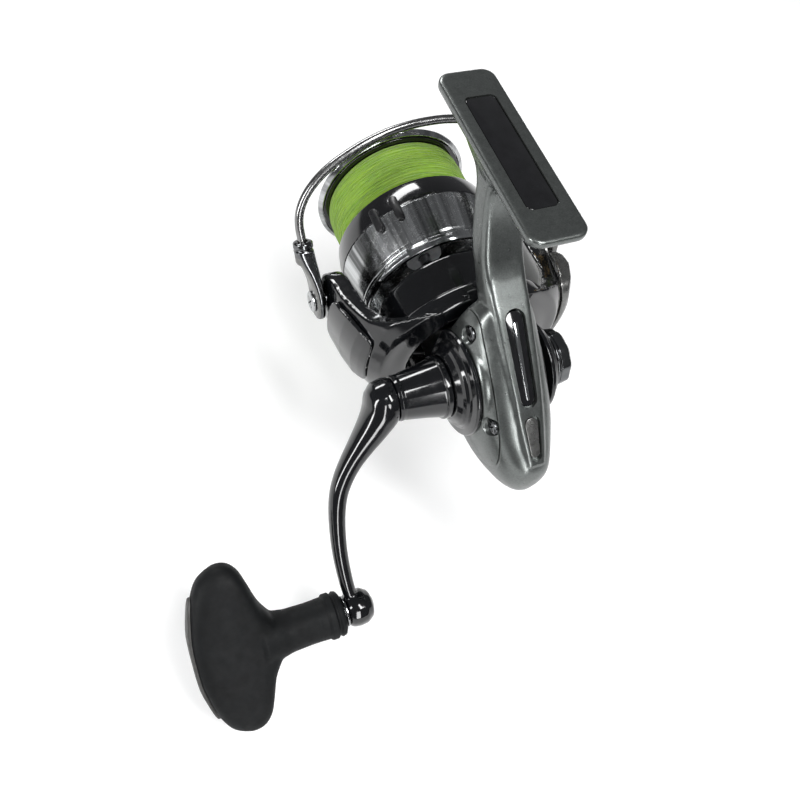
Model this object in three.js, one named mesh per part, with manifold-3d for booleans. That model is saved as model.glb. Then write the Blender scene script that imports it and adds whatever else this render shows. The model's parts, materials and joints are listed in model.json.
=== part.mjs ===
// Spinning reel, built as separate solids in millimetres.
// +X runs forward along the main shaft to the spool, +Y is the handle (left) side and
// +Z points to the rod foot. The solids are laid out from the point of the main-shaft axis
// straight below the drive gear. addPiece() then moves them to the final origin: on the
// flat top of the foot, on its centre line, ORIGIN_INSET in from the rear end.
import * as THREE from 'three';
import { mergeVertices } from 'three/addons/utils/BufferGeometryUtils.js';
import Module from 'manifold-3d';

const wasm = await Module();
wasm.setup();

// ---------------------------------------------------------------- points and outlines
const rad = THREE.MathUtils.degToRad;
const vec3 = (x, y, z) => new THREE.Vector3(x, y, z);
const repeat = (count, make) => Array.from({ length: count }, (_, i) => make(i));
const polar = (radius, angle) => [radius * Math.cos(angle), radius * Math.sin(angle)];
const signedPower = (value, power) => Math.sign(value) * Math.abs(value) ** power;

// Point [along, across] of a frame centred on [x, z] and turned from +X towards +Z.
const turned = ([x, z], angle, [along, across]) => [
  x + along * Math.cos(angle) - across * Math.sin(angle),
  z + along * Math.sin(angle) + across * Math.cos(angle)];
const turnedOutline = (axis, angle, outline) => outline.map(p => turned(axis, angle, p));

function arc(centreA, centreB, radius, fromDeg, toDeg, steps) {
  return repeat(steps + 1, (i) => {
    const [a, b] = polar(radius, rad(fromDeg + (toDeg - fromDeg) * i / steps));
    return [centreA + a, centreB + b];
  });
}
function roundedRect(centreA, centreB, lengthA, lengthB, radius, steps = 4) {
  const corners = [[1, 1, 0], [-1, 1, 90], [-1, -1, 180], [1, -1, 270]];   // signs, start angle
  return corners.flatMap(([signA, signB, start]) => arc(
    centreA + signA * (lengthA / 2 - radius), centreB + signB * (lengthB / 2 - radius),
    radius, start, start + 90, steps));
}
// Gear outline; the tooth profile lists [radius, angle from the tooth centre].
const gearOutline = (teeth, firstAngle, tooth) => repeat(teeth, i => tooth.map(
  ([radius, offset]) => polar(radius, firstAngle + 2 * Math.PI * i / teeth + offset))).flat();

// ---------------------------------------------------------------- driving dimensions
const HANDLE_Z = 7;                       // drive-gear and handle axis above the main shaft
const FOOT_TOP = 67, FOOT_MID_X = 26, FOOT_LENGTH = 57, FOOT_WIDTH = 15.8;
const ORIGIN_INSET = 5;
const ORIGIN_X = FOOT_MID_X - FOOT_LENGTH / 2 + ORIGIN_INSET;
const COVER_SPLIT_Y = 8.3;                // parting plane of the left side cover
const COVER_Y = COVER_SPLIT_Y + 0.3;      // inner edge of the cover, across the gap
const COVER_OUTER_Y = 11.1, COVER_FRONT_X = 10.4;
const BEARING_BORE = 6.3;                 // radius of the drive-bearing pockets
const GEAR_TEETH = 52, PINION_TEETH = 10, GEAR_RADIUS = 13.5;
const OSC_X = -13.5, OSC_Z = -3, OSC_TEETH = 24, OSC_DRIVE_TEETH = 24, CRANK_RADIUS = 6.5;
const SHAFT_RADIUS = 1.8;
const GUIDE_AXIS = [-0.6, -9.4];          // y, z of the guide rod
const BAIL_X = 42, BAIL_TILT = rad(60), BAIL_BORE = 2.1, WIRE_RADIUS = 1.25;
const ROLLER_ANGLE = rad(90), ROLLER_ARM = 20, ROLLER_BORE = 1.2;
const HANDLE_ANGLE = rad(227.3), HANDLE_LENGTH = 60;   // arm direction from +X towards +Z
const T_BAR_ANGLE = rad(41.5);

// Axes parallel to Y, as [x, z]
const GEAR_AXIS = [0, HANDLE_Z];
const OSC_AXIS = [OSC_X, OSC_Z];
const BAIL_AXIS = [BAIL_X, 0];
const ROLLER_AXIS = turned(BAIL_AXIS, ROLLER_ANGLE, [ROLLER_ARM, 0]);
const KNOB_AXIS = turned(GEAR_AXIS, HANDLE_ANGLE, [HANDLE_LENGTH, 0]);

// ---------------------------------------------------------------- finishes
const SILVER = { color: 0x8f9694, roughness: 0.38, metalness: 0.75 };
const BLACK = { color: 0x0b0c0e, roughness: 0.16, metalness: 0.1 };
const STEEL = { color: 0xb4b6b6, roughness: 0.25, metalness: 1 };
const DARK = { color: 0x4c4e50, roughness: 0.25, metalness: 1 };
const RUBBER = { color: 0x17181a, roughness: 0.75, metalness: 0 };
const BRASS = { color: 0xb08d4a, roughness: 0.35, metalness: 1 };
const SMOKE = { color: 0x6f6f6c, roughness: 0.35, metalness: 0.8 };
const GLOSS = { color: 0x060607, roughness: 0.1, metalness: 0.1 };
const LINE = { color: 0x86c41a, roughness: 0.6, metalness: 0 };
const FELT = { color: 0x3a3a36, roughness: 0.95, metalness: 0 };
const ZINC = { color: 0x9a9c9e, roughness: 0.4, metalness: 0.9 };

// ---------------------------------------------------------------- solids
// Welds a closed geometry, drops its collapsed triangles and turns its faces outwards.
function solid(geometry) {
  geometry.deleteAttribute('normal');
  geometry.deleteAttribute('uv');
  const welded = mergeVertices(geometry, 1e-4);
  const position = welded.attributes.position, index = welded.index.array;
  const corners = [];
  let volume = 0;
  for (let i = 0; i < index.length; i += 3) {
    const [a, b, c] = index.slice(i, i + 3);
    if (a === b || b === c || a === c) continue;
    corners.push(a, b, c);
    const [p, q, r] = [a, b, c].map(k => vec3().fromBufferAttribute(position, k));
    volume += p.dot(q.cross(r)) / 6;
  }
  if (volume < 0) corners.reverse();
  return new wasm.Manifold(new wasm.Mesh({
    numProp: 3,
    vertProperties: new Float32Array(position.array),
    triVerts: new Uint32Array(corners),
  }));
}

// Profiles are [place along the axis, radius]; one that leaves the axis is closed as a ring.
function lathe(profile, facets) {
  const points = profile.map(([along, radius]) => new THREE.Vector2(radius, along));
  const onAxis = points[0].x < 1e-6 && points[points.length - 1].x < 1e-6;
  if (!onAxis) points.push(points[0].clone());
  return new THREE.LatheGeometry(points, facets);
}
const latheX = (profile, facets, [y, z] = [0, 0]) =>
  solid(lathe(profile, facets).rotateZ(-Math.PI / 2).translate(0, y, z));
const latheY = (profile, facets, [x, z]) => solid(lathe(profile, facets).translate(x, 0, z));

const rodProfile = (from, to, radius) => [[from, 0], [from, radius], [to, radius], [to, 0]];
const tubeProfile = (from, to, inner, outer) =>
  [[from, inner], [from, outer], [to, outer], [to, inner]];
const rodX = (x0, x1, radius, facets, axis) => latheX(rodProfile(x0, x1, radius), facets, axis);
const rodY = (y0, y1, radius, facets, axis) => latheY(rodProfile(y0, y1, radius), facets, axis);
const tubeX = (x0, x1, inner, outer, facets) =>
  latheX(tubeProfile(x0, x1, inner, outer), facets);
const tubeY = (y0, y1, inner, outer, facets, axis) =>
  latheY(tubeProfile(y0, y1, inner, outer), facets, axis);

function box(x0, x1, y0, y1, z0, z1) {
  const block = new THREE.BoxGeometry(x1 - x0, y1 - y0, z1 - z0);
  return solid(block.translate((x0 + x1) / 2, (y0 + y1) / 2, (z0 + z1) / 2));
}
function extrude(outline, depth) {
  const shape = new THREE.Shape(outline.map(([a, b]) => new THREE.Vector2(a, b)));
  return new THREE.ExtrudeGeometry(shape, { depth, bevelEnabled: false });
}
// Outline in XZ, thickness along Y
const sideways = (outline, y0, y1) =>
  solid(extrude(outline, y1 - y0).rotateX(Math.PI / 2).translate(0, y1, 0));
// Outline in XY, thickness along Z
const upright = (outline, z0, z1) => solid(extrude(outline, z1 - z0).translate(0, 0, z0));

// Skin over rings of equal length, capped at both ends
function loft(rings) {
  const count = rings[0].length, points = rings.flat(), faces = [];
  for (let k = 0; k + 1 < rings.length; k++) {
    for (let i = 0; i < count; i++) {
      const a = k * count + i, b = k * count + (i + 1) % count;
      faces.push(a, b, b + count, a, b + count, a + count);
    }
  }
  const cap = (ring, start, flip) => {
    const centre = points.length;
    points.push(ring.reduce((sum, p) => sum.add(p), vec3(0, 0, 0)).divideScalar(count));
    for (let i = 0; i < count; i++) {
      const a = start + i, b = start + (i + 1) % count;
      faces.push(centre, ...(flip ? [b, a] : [a, b]));
    }
  };
  cap(rings[0], 0, true);
  cap(rings[rings.length - 1], (rings.length - 1) * count, false);
  const skin = new THREE.BufferGeometry().setFromPoints(points);
  skin.setIndex(faces);
  return solid(skin);
}
// Point of a ring around a centre, at an angle between two directions
const ringPoint = (centre, dirA, dirB, radiusA, radiusB, angle) => centre.clone()
  .addScaledVector(dirA, radiusA * Math.cos(angle))
  .addScaledVector(dirB, radiusB * Math.sin(angle));

// Round bar along a smooth curve, with one radius for each evenly spaced station
function sweepRound(points, radii, sides) {
  const curve = new THREE.CatmullRomCurve3(points, false, 'catmullrom', 0.5);
  const last = radii.length - 1, { normals, binormals } = curve.computeFrenetFrames(last, false);
  return loft(radii.map((radius, k) => {
    const centre = curve.getPointAt(k / last);
    return repeat(sides, i =>
      ringPoint(centre, normals[k], binormals[k], radius, radius, 2 * Math.PI * i / sides));
  }));
}
const join = (...parts) => parts.reduce((a, b) => a.add(b));
const cut = (body, ...tools) => tools.reduce((a, b) => a.subtract(b), body);

const reel = new THREE.Group();
function addPiece(name, finish, piece) {
  const { vertProperties, triVerts } = piece.translate([-ORIGIN_X, 0, -FOOT_TOP]).getMesh();
  const geometry = new THREE.BufferGeometry();
  geometry.setAttribute('position', new THREE.BufferAttribute(vertProperties, 3));
  geometry.setIndex(new THREE.BufferAttribute(triVerts, 1));
  geometry.computeVertexNormals();
  const mesh = new THREE.Mesh(geometry, new THREE.MeshStandardMaterial(finish));
  mesh.name = name;
  reel.add(mesh);
}

// ---------------------------------------------------------------- gearbox form
// x, top, bottom, left half width, right half width, height of the widest line
const SECTIONS = [
  [-32.0, 3.0, -5.0, 2.6, 2.4, -1.0], [-31.2, 5.0, -8.2, 4.6, 4.2, -1.0],
  [-29.0, 7.3, -11.4, 6.6, 5.8, -0.5], [-25.2, 10.4, -14.8, 8.4, 7.4, 0.5],
  [-19.2, 16.0, -18.2, 10.4, 9.2, 2.5], [-13.2, 21.0, -20.2, 11.7, 10.3, 4.0],
  [-7.2, 25.6, -21.0, 12.4, 11.0, 5.5], [-1.2, 30.0, -21.0, 12.5, 11.0, 7.0],
  [4.3, 34.2, -20.2, 12.5, 11.0, 7.0], [8.5, 33.2, -18.8, 12.3, 10.9, 6.0],
  [10.8, 31.0, -17.8, 12.0, 10.8, 5.0]];
const SECTION_STEPS = 20;
const TOP_POWER = 0.75, BOTTOM_POWER = 1.18;   // below 1 is fuller, above 1 is leaner
const MIN_SECTION_GAP = 0.6;                   // listed sections nearer to an end are skipped

function sectionAt(x) {
  let k = 0;
  while (k < SECTIONS.length - 2 && SECTIONS[k + 1][0] < x) k++;
  const before = SECTIONS[k], after = SECTIONS[k + 1];
  const share = THREE.MathUtils.clamp((x - before[0]) / (after[0] - before[0]), 0, 1);
  return before.map((value, i) => value + (after[i] - value) * share);
}
function gearboxForm(inset, x0, x1) {
  const between = SECTIONS.map(row => row[0])
    .filter(x => x > x0 + MIN_SECTION_GAP && x < x1 - MIN_SECTION_GAP);
  return loft([x0, ...between, x1].map((x) => {
    const [, top, bottom, left, right, middle] = sectionAt(x);
    return repeat(SECTION_STEPS, (i) => {
      const [across, up] = polar(1, 2 * Math.PI * i / SECTION_STEPS);
      const power = up > 0 ? TOP_POWER : BOTTOM_POWER;
      const width = (across > 0 ? left : right) - inset;
      const height = (up > 0 ? top - middle : middle - bottom) - inset;
      return vec3(x, signedPower(across, power) * width,
        middle + signedPower(up, power) * height);
    });
  }));
}
const outerForm = gearboxForm(0, SECTIONS[0][0], SECTIONS[SECTIONS.length - 1][0]);
const hollow = join(gearboxForm(2.0, -28.6, 8.6),
  rodY(4.0, 6.9, 9.4, 24, OSC_AXIS), rodY(4.4, 6.9, 9.4, 24, GEAR_AXIS));
const COVER_SCREWS = [
  { name: 'upper', axis: [3.6, 25.2], headY: 10.4 },
  { name: 'rear', axis: [-17.8, 11.0], headY: 9.7 }];

// ---------------------------------------------------------------- body frame, stem and foot
const STEM_HALF = 6;
const STEM = [   // x, z
  [6, 24], [10.8, 24], [11.6, 28.2], [15.2, 33.4], [21, 39.6], [24.6, 45.2], [26.8, 51.5],
  [28.4, 57.5], [31, 60.7], [42, 63.2], [19, 63.2], [20.2, 55], [17.2, 48.2], [14.2, 42.8],
  [9.6, 38.4], [4.3, 34.2], [0, 29]];
const FOOT_SIDE = [   // x, z
  [-3.6, 64], [-3.6, 67.05], [54.8, 67.05], [54.8, 64],
  [46, 62.6], [34, 61.9], [17, 61.9], [6, 62.6]];
const LABEL_LENGTH = 37.7, LABEL_WIDTH = 8.8, LABEL_GAP = 0.6;

// Band along a spine line that runs rearwards and down, between two heights above the line
function spineBand([[x0, z0], [x1, z1]], low, high) {
  const length = Math.hypot(x1 - x0, z1 - z0);
  const outX = (z1 - z0) / length, outZ = (x0 - x1) / length;
  return [[x0, z0, low], [x1, z1, low], [x1, z1, high], [x0, z0, high]]
    .map(([x, z, height]) => [x + outX * height, z + outZ * height]);
}
function bodyFrame() {
  const shell = outerForm.intersect(box(-40, 20, -20, COVER_SPLIT_Y, -40, 40));
  const frontBoss = latheX([
    [10.6, 0], [10.6, 18.6], [12.2, 18.6], [16.4, 13.6], [19, 12.6], [25.5, 12.6], [25.5, 0]],
  24).intersect(box(0, 30, -10.8, 11.1, -30, 30));
  const rightSeat = rodY(-11.0, -7.2, 8.2, 12, GEAR_AXIS);
  const screwPosts = join(...COVER_SCREWS.map(
    ({ axis }) => rodY(-11, COVER_SPLIT_Y, 2.4, 8, axis))).intersect(shell);
  const stem = sideways(STEM, -STEM_HALF, STEM_HALF).subtract(hollow);
  const foot = upright(roundedRect(FOOT_MID_X, 0, FOOT_LENGTH, FOOT_WIDTH, 3.2), 61, FOOT_TOP)
    .intersect(sideways(FOOT_SIDE, -9, 9));
  return cut(join(cut(join(shell, frontBoss), hollow), rightSeat, screwPosts, stem, foot),
    rodY(-14, -6.9, BEARING_BORE, 14, GEAR_AXIS),
    rodY(-6.1, -2.0, 15.1, 20, GEAR_AXIS),         // room for the drive gear
    rodY(4, 9, 2.4, 12, OSC_AXIS),
    rodX(6, 15.1, 4.4, 12),                        // pinion bore, stepped up to the front
    rodX(15, 19.4, 6.9, 14),
    rodX(19.3, 26, 9.8, 14),
    ...COVER_SCREWS.map(({ axis }) => rodY(1.6, 9, 1.4, 8, axis)),
    upright(roundedRect(FOOT_MID_X, 0, LABEL_LENGTH, LABEL_WIDTH, 1.6),
      FOOT_TOP - 1.1, FOOT_TOP + 1),
    // recesses along the spine for the insert and the tail trim
    sideways(spineBand([[3.0, 33.1], [-18.0, 17.0]], -1.4, 6), -3.0, 3.0),
    sideways(spineBand([[-19.6, 15.4], [-29.0, 7.1]], -1.1, 6), -2.4, 2.4));
}
addPiece('body_frame', SILVER, bodyFrame());
addPiece('spine_insert', GLOSS,
  sideways(spineBand([[2.6, 32.8], [-17.6, 17.3]], -1.1, 0.25), -2.7, 2.7));
addPiece('tail_trim', SMOKE,
  sideways(spineBand([[-20.0, 15.0], [-28.6, 7.4]], -0.8, 0.2), -2.1, 2.1));
addPiece('foot_label_plate', GLOSS, upright(
  roundedRect(FOOT_MID_X, 0, LABEL_LENGTH - LABEL_GAP, LABEL_WIDTH - LABEL_GAP, 1.3),
  FOOT_TOP - 0.8, FOOT_TOP - 0.15));

// ---------------------------------------------------------------- side cover
function sideCover() {
  const skin = outerForm.intersect(box(-40, COVER_FRONT_X, COVER_Y, 20, -40, 40));
  const disc = latheY([[COVER_Y, 0], [COVER_Y, 16.3], [10.3, 16.0],
    [COVER_OUTER_Y, 15.2], [COVER_OUTER_Y, 0]], 32, GEAR_AXIS)
    .intersect(box(-20, COVER_FRONT_X, 0, 20, -20, 30));
  const screwPads = COVER_SCREWS.map(
    ({ axis }) => rodY(COVER_Y, 12, 3.0, 10, axis).intersect(outerForm));
  const bearingSeat = tubeY(7.0, COVER_OUTER_Y, BEARING_BORE, 8.3, 14, GEAR_AXIS);
  const oscillationStud = rodY(4.9, 9.6, 1.9, 10, OSC_AXIS);
  const screwHoles = COVER_SCREWS.flatMap(({ axis, headY }) => [
    rodY(5, 14, 1.4, 8, axis), rodY(headY - 1.2, 14, 2.5, 12, axis)]);
  return cut(join(cut(join(skin, disc), hollow), ...screwPads, bearingSeat, oscillationStud),
    rodY(COVER_OUTER_Y, 20, 30, 8, GEAR_AXIS),     // flattens the outer face
    rodY(5, 14, BEARING_BORE, 14, GEAR_AXIS),
    ...screwHoles).intersect(box(-40, COVER_FRONT_X, 0, 20, -40, 40));
}
function coverScrew({ axis, headY }) {
  const [x, z] = axis, slotHalf = 0.35, slotReach = 1.3, slotY = headY - 0.5;
  return cut(
    join(rodY(2.0, headY - 0.7, 1.05, 8, axis), rodY(headY - 0.9, headY, 2.15, 10, axis)),
    box(x - slotHalf, x + slotHalf, slotY, 13, z - slotReach, z + slotReach),
    box(x - slotReach, x + slotReach, slotY, 13, z - slotHalf, z + slotHalf));
}
addPiece('side_cover', SILVER, sideCover());
for (const screw of COVER_SCREWS) addPiece('cover_screw_' + screw.name, STEEL, coverScrew(screw));

// ---------------------------------------------------------------- collars and bearings
const collarTrim = box(-20, 12.2, -20, 20, -20, 30);   // flat front on both collars
addPiece('left_collar', BLACK, latheY([
  [11.4, 4.7], [11.4, 15.4], [12.8, 15.4], [13.6, 12.4], [16.0, 9.6], [16.0, 4.7]],
32, GEAR_AXIS).intersect(collarTrim));
addPiece('right_collar', BLACK, latheY([
  [-11.3, 4.7], [-11.3, 14], [-12.6, 14], [-16.0, 9.2], [-16.0, 4.7]],
28, GEAR_AXIS).intersect(collarTrim));
addPiece('handle_hole_cap', DARK, join(
  latheY([[-22.0, 0], [-22.0, 6.6], [-21.1, 8.0], [-17.2, 8.5], [-16.3, 8.2], [-16.3, 0]],
    24, GEAR_AXIS),
  rodY(-16.4, -11.8, 4.0, 12, GEAR_AXIS)));
addPiece('drive_bearing_right', STEEL, tubeY(-10.9, -7.6, 4.3, 6.0, 12, GEAR_AXIS));
addPiece('drive_bearing_left', STEEL, tubeY(7.3, 11.0, 4.3, 6.0, 12, GEAR_AXIS));
addPiece('pinion_bearing', STEEL, tubeX(15.3, 19.0, 4.3, 6.6, 12));
addPiece('one_way_clutch', ZINC, tubeX(19.7, 25.2, 6.7, 9.5, 14));
addPiece('clutch_cover', ZINC, tubeX(25.8, 26.8, 7.2, 12.4, 14));
addPiece('guide_rod', STEEL, rodX(-23.0, 7.8, 1.0, 8, GUIDE_AXIS));

// ---------------------------------------------------------------- drive gear and pinion
// The gears mesh at shaft height; MESH_ANGLE is how far below +X that is on the drive gear.
const MESH_ANGLE = Math.asin(HANDLE_Z / GEAR_RADIUS);
const MESH_X = GEAR_RADIUS * Math.cos(MESH_ANGLE);
const PINION_PITCH = GEAR_RADIUS / (GEAR_TEETH / PINION_TEETH * Math.cos(MESH_ANGLE));
const PINION_TIP = PINION_PITCH + 0.42, PINION_ROOT = PINION_PITCH - 0.5;
const TOOTH_CLEARANCE = 0.2;
const FACE_TIP_Y = -(PINION_ROOT + TOOTH_CLEARANCE);
const FACE_ROOT_Y = -(PINION_TIP + TOOTH_CLEARANCE);

// Straight radial tooth on the +Y face of the gear, sunk into the disc for a sound joint
function faceTooth(i) {
  const angle = -MESH_ANGLE + 2 * Math.PI / GEAR_TEETH * (i + 0.5);
  const rootHalf = 0.36, tipHalf = 0.2, baseY = FACE_ROOT_Y - 0.4;
  const section = [
    [-rootHalf, baseY], [rootHalf, baseY], [tipHalf, FACE_TIP_Y], [-tipHalf, FACE_TIP_Y]];
  return loft([12.1, 14.6].map(radius => section.map(([across, y]) => {
    const [x, z] = turned(GEAR_AXIS, angle, [radius, across]);
    return vec3(x, y, z);
  })));
}
// Disc and stepped axle, bored from +Y
const DRIVE_PROFILE = [
  [FACE_ROOT_Y, 11.6], [FACE_ROOT_Y, 14.6], [-5.7, 14.6], [-5.7, 6], [-7.3, 6], [-7.3, 4.0],
  [-11.4, 4.0], [-11.4, 0], [4, 0], [4, 2.2], [16.0, 2.2], [16.0, 4.0], [7.0, 4.0],
  [7.0, 3.0], [-2.6, 3.0], [-4.3, 5]];
addPiece('drive_gear', BRASS,
  join(latheY(DRIVE_PROFILE, 24, GEAR_AXIS), ...repeat(GEAR_TEETH, faceTooth)));

function pinionGear() {
  const rear = 8.7, front = 14.4, steps = 5;
  const twist = Math.tan(MESH_ANGLE) / PINION_PITCH;   // radians per mm
  const tooth = [
    [PINION_ROOT, -0.165], [PINION_TIP, -0.065], [PINION_TIP, 0.065], [PINION_ROOT, 0.165]];
  const helix = loft(repeat(steps + 1, (k) => {
    const x = rear + (front - rear) * k / steps;
    return gearOutline(PINION_TEETH, Math.PI + twist * (x - MESH_X), tooth)
      .map(([y, z]) => vec3(x, y, z));
  }));
  return cut(join(helix, rodX(14.3, 33.0, 4.0, 12)), rodX(8, 34, 2.1, 10));
}
addPiece('pinion_gear', BRASS, pinionGear());
addPiece('clutch_sleeve', STEEL, tubeX(19.7, 25.4, 4.3, 6.4, 12));

// ---------------------------------------------------------------- spool oscillation
const OSC_MODULE = 2 * Math.hypot(OSC_X, OSC_Z - HANDLE_Z) / (OSC_TEETH + OSC_DRIVE_TEETH);
const OSC_LINE = Math.atan2(OSC_Z - HANDLE_Z, OSC_X);   // from the drive axis to the gear axis
const SLIDER_X = OSC_X + CRANK_RADIUS;                  // with the spool fully forward

function spurGear(teeth, firstAngle, axis, y0, y1) {
  const pitch = teeth * OSC_MODULE / 2, tip = pitch + 0.5, root = pitch - 0.75;
  const tipHalf = 0.24 / pitch, rootHalf = 0.52 / pitch;
  const tooth = [[root, -rootHalf], [tip, -tipHalf], [tip, tipHalf], [root, rootHalf]];
  return sideways(
    turnedOutline(axis, 0, gearOutline(teeth, firstAngle, tooth)), y0, y1);
}
function oscillationGear() {
  const firstAngle = OSC_LINE + Math.PI + Math.PI / OSC_TEETH;   // half a tooth out of step
  const crankPin = rodY(4.3, 5.4, 1.2, 10, [SLIDER_X, OSC_Z]);
  return cut(join(spurGear(OSC_TEETH, firstAngle, OSC_AXIS, 5.0, 6.4), crankPin),
    rodY(4, 9, 2.2, 12, OSC_AXIS));
}
function slider() {
  const block = join(
    box(SLIDER_X - 2.2, SLIDER_X + 2.2, -2.2, 2.8, -11.4, 3.2),
    box(SLIDER_X - 2.2, SLIDER_X + 2.2, 0.4, 4.0, -10.4, 5.6));
  return cut(block,
    rodX(SLIDER_X - 5, SLIDER_X + 5, 2.0, 12),                        // main shaft
    rodX(SLIDER_X - 5, SLIDER_X + 5, 1.3, 10, GUIDE_AXIS),
    box(SLIDER_X - 1.5, SLIDER_X + 1.5, 2.7, 6, -12, 7));             // crank-pin slot
}
addPiece('oscillation_pinion', ZINC, cut(
  spurGear(OSC_DRIVE_TEETH, OSC_LINE, GEAR_AXIS, 4.8, 6.6), rodY(4, 9, 3.3, 10, GEAR_AXIS)));
addPiece('oscillation_gear', ZINC, oscillationGear());
addPiece('slider', ZINC, slider());
addPiece('main_shaft', STEEL, rodX(SLIDER_X - 2.6, 76, SHAFT_RADIUS, 12));

// ---------------------------------------------------------------- rotor
// Profiles are x, radius; outlines seen from the side are x, z.
const ARM_RING = [
  [13.2, 23], [13.2, 28.6], [16.4, 31.6], [22, 33.7], [34, 35.9], [46.4, 36.3], [48, 34.0],
  [46.4, 30.8], [28, 30.4], [20.8, 28], [17.4, 23]];
const ARM_EDGE = [   // upper edge from the rear, mirrored below
  [11, 24], [14.8, 21.5], [17.5, 17.5], [22, 13.8], [28, 11.6], [36, 9.8], [43.5, 8.4],
  [47.6, 5.2]];
const ARM_SIDE = [...ARM_EDGE, [48.6, 0], ...ARM_EDGE.map(([x, z]) => [x, -z]).reverse()];
const ROTOR_TUBE = [
  [13.2, 20.4], [13.2, 22.4], [33, 22.4], [33, 20.4], [30.4, 20.4], [30.2, 9], [30.2, 4.3],
  [27.4, 4.3], [27.4, 14], [26, 20.4]];
const ROTOR_FLANGE = [
  [12.8, 20.2], [12.8, 22.2], [13.4, 26.2], [15.2, 27.4], [18.2, 27.4], [19.0, 26.6],
  [19.0, 25.4], [17.6, 22.0], [15, 20.6]];

function rotor() {
  const leftArm = cut(latheX(ARM_RING, 40).intersect(sideways(ARM_SIDE, 12, 40)),
    sideways(roundedRect(20.6, 0, 8.6, 11, 2.4, 3), 10, 45),
    rodY(25, 45, BAIL_BORE, 8, BAIL_AXIS));
  // the right arm has a pocket in its outer face for the bail spring
  const rightArm = cut(leftArm.mirror([0, 1, 0]), box(23, 38.2, -40, -32.6, -6.4, 6.4));
  return join(latheX(ROTOR_TUBE, 24), latheX(ROTOR_FLANGE, 24), leftArm, rightArm);
}
addPiece('rotor', BLACK, rotor());
// A hexagon, turned to point its corners along Y
addPiece('rotor_nut', ZINC,
  cut(rodX(30.5, 33.4, 7.2, 6).rotate([30, 0, 0]), rodX(29, 35, 4.3, 10)));

const LEFT_PLATE = [
  [18.5, 32.75], [22, 34.1], [34, 36.25], [35.2, 36.5], [35.2, 37.5], [27, 36.4],
  [21.2, 35.0], [18.5, 33.6]];
const LEFT_PLATE_SIDE = [
  [19, -8], [19, 8], [26, 9.6], [35.6, 7.6], [35.6, -7.6], [26, -9.6]];
const RIGHT_PLATE = [
  [15.6, 31.4], [16.6, 32.1], [22, 34.1], [34, 36.25], [35.2, 36.5], [35.2, 38.2],
  [31, 39.4], [26, 39.0], [20.5, 37.0], [16.6, 34.4], [15.6, 32.9]];
const RIGHT_PLATE_SIDE = [
  [15.6, 5], [16.2, 11], [18.5, 15.2], [23.5, 15.2], [30, 12.6], [35.6, 9], [35.6, -9],
  [30, -13.2], [25, -16.8], [20, -16.6], [16.6, -11.5], [15.6, -4]];
addPiece('arm_cover_left', SMOKE,
  latheX(LEFT_PLATE, 40).intersect(sideways(LEFT_PLATE_SIDE, 20, 45)));
addPiece('arm_cover_right', SMOKE,
  latheX(RIGHT_PLATE, 40).intersect(sideways(RIGHT_PLATE_SIDE, -45, -20)));

const SPRING_AXIS = [-34.0, 2.6];   // y, z
function bailSpring() {
  const turns = 6, stepsPerTurn = 8, steps = turns * stepsPerTurn;
  const coil = repeat(steps + 1, (k) => {
    const [y, z] = polar(0.85, 2 * Math.PI * k / stepsPerTurn);
    return vec3(28.6 + 7.0 * k / steps, SPRING_AXIS[0] + y, SPRING_AXIS[1] + z);
  });
  return sweepRound(coil, new Array(steps + 1).fill(0.2), 4);
}
addPiece('bail_spring', STEEL, bailSpring());
addPiece('bail_spring_rod', STEEL,
  join(rodX(27.0, 36.6, 0.4, 8, SPRING_AXIS), rodX(36.2, 37.4, 0.9, 8, SPRING_AXIS)));
addPiece('kick_lever', ZINC,
  join(box(26.4, 37.0, -34.1, -33.0, -5.6, -3.4), box(26.4, 28.8, -34.1, -33.0, -3.6, -1.4)));

// ---------------------------------------------------------------- bail
// Wire stations: distance from the pivot along the tilted bail, y, offset across the tilt
const WIRE = [
  [16, 40.6, 0], [20, 40.8, 0], [24, 41.0, 0], [28, 40.3, 0], [32, 38.2, 0], [35.5, 35, 0],
  [38.5, 31, 0], [41.3, 25.6, 0], [43.8, 19.5, 0], [45.7, 13, 0], [46.8, 6.5, 0],
  [47.2, 0, 0], [47.0, -6, 0], [46.1, -12, 0.2], [44.6, -18, 0.8], [42.4, -23.2, 1.9],
  [39.6, -27.2, 3.4], [35.6, -29.9, 5.2], [30.6, -31.0, 6.9], [26, -31.0, 8.2],
  [22.4, -30.9, 9.2], [18.2, -30.9, 9.9]];
const WIRE_RADII = [...new Array(30).fill(WIRE_RADIUS), 1.5, 1.9, 2.3, 2.5];
const SOCKET = [   // distance from the pivot, radius
  [12.4, 0], [12.4, 2.1], [13.4, 2.7], [18.6, 2.7], [19.2, 2.3], [19.2, 1.6], [15.4, 1.6],
  [15.4, 0]];

function bailWire() {
  const points = WIRE.map(([along, y, across]) => {
    const [x, z] = turned(BAIL_AXIS, BAIL_TILT, [along, across]);
    return vec3(x, y, z);
  });
  return cut(
    join(sweepRound(points, WIRE_RADII, 8), rodY(-33.8, -29.4, 2.7, 10, ROLLER_AXIS)),
    rodY(-36, -31.6, ROLLER_BORE, 8, ROLLER_AXIS));
}
function bailHolder() {
  const plate = sideways(turnedOutline(BAIL_AXIS, BAIL_TILT, [
    ...arc(0, 0, 5.4, 50, 310, 12), [13.5, -2.6], [17, -2.5], [17, 2.5], [13.5, 2.6]]),
  36.7, 39.3);
  const tilted = part => part.rotate([0, -THREE.MathUtils.radToDeg(BAIL_TILT), 0])
    .translate([BAIL_X, 40.6, 0]);
  return cut(join(plate, tilted(latheX(SOCKET, 20))),
    tilted(rodX(15.4, 22, 1.6, 20)), rodY(30, 45, BAIL_BORE, 8, BAIL_AXIS));
}
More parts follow.
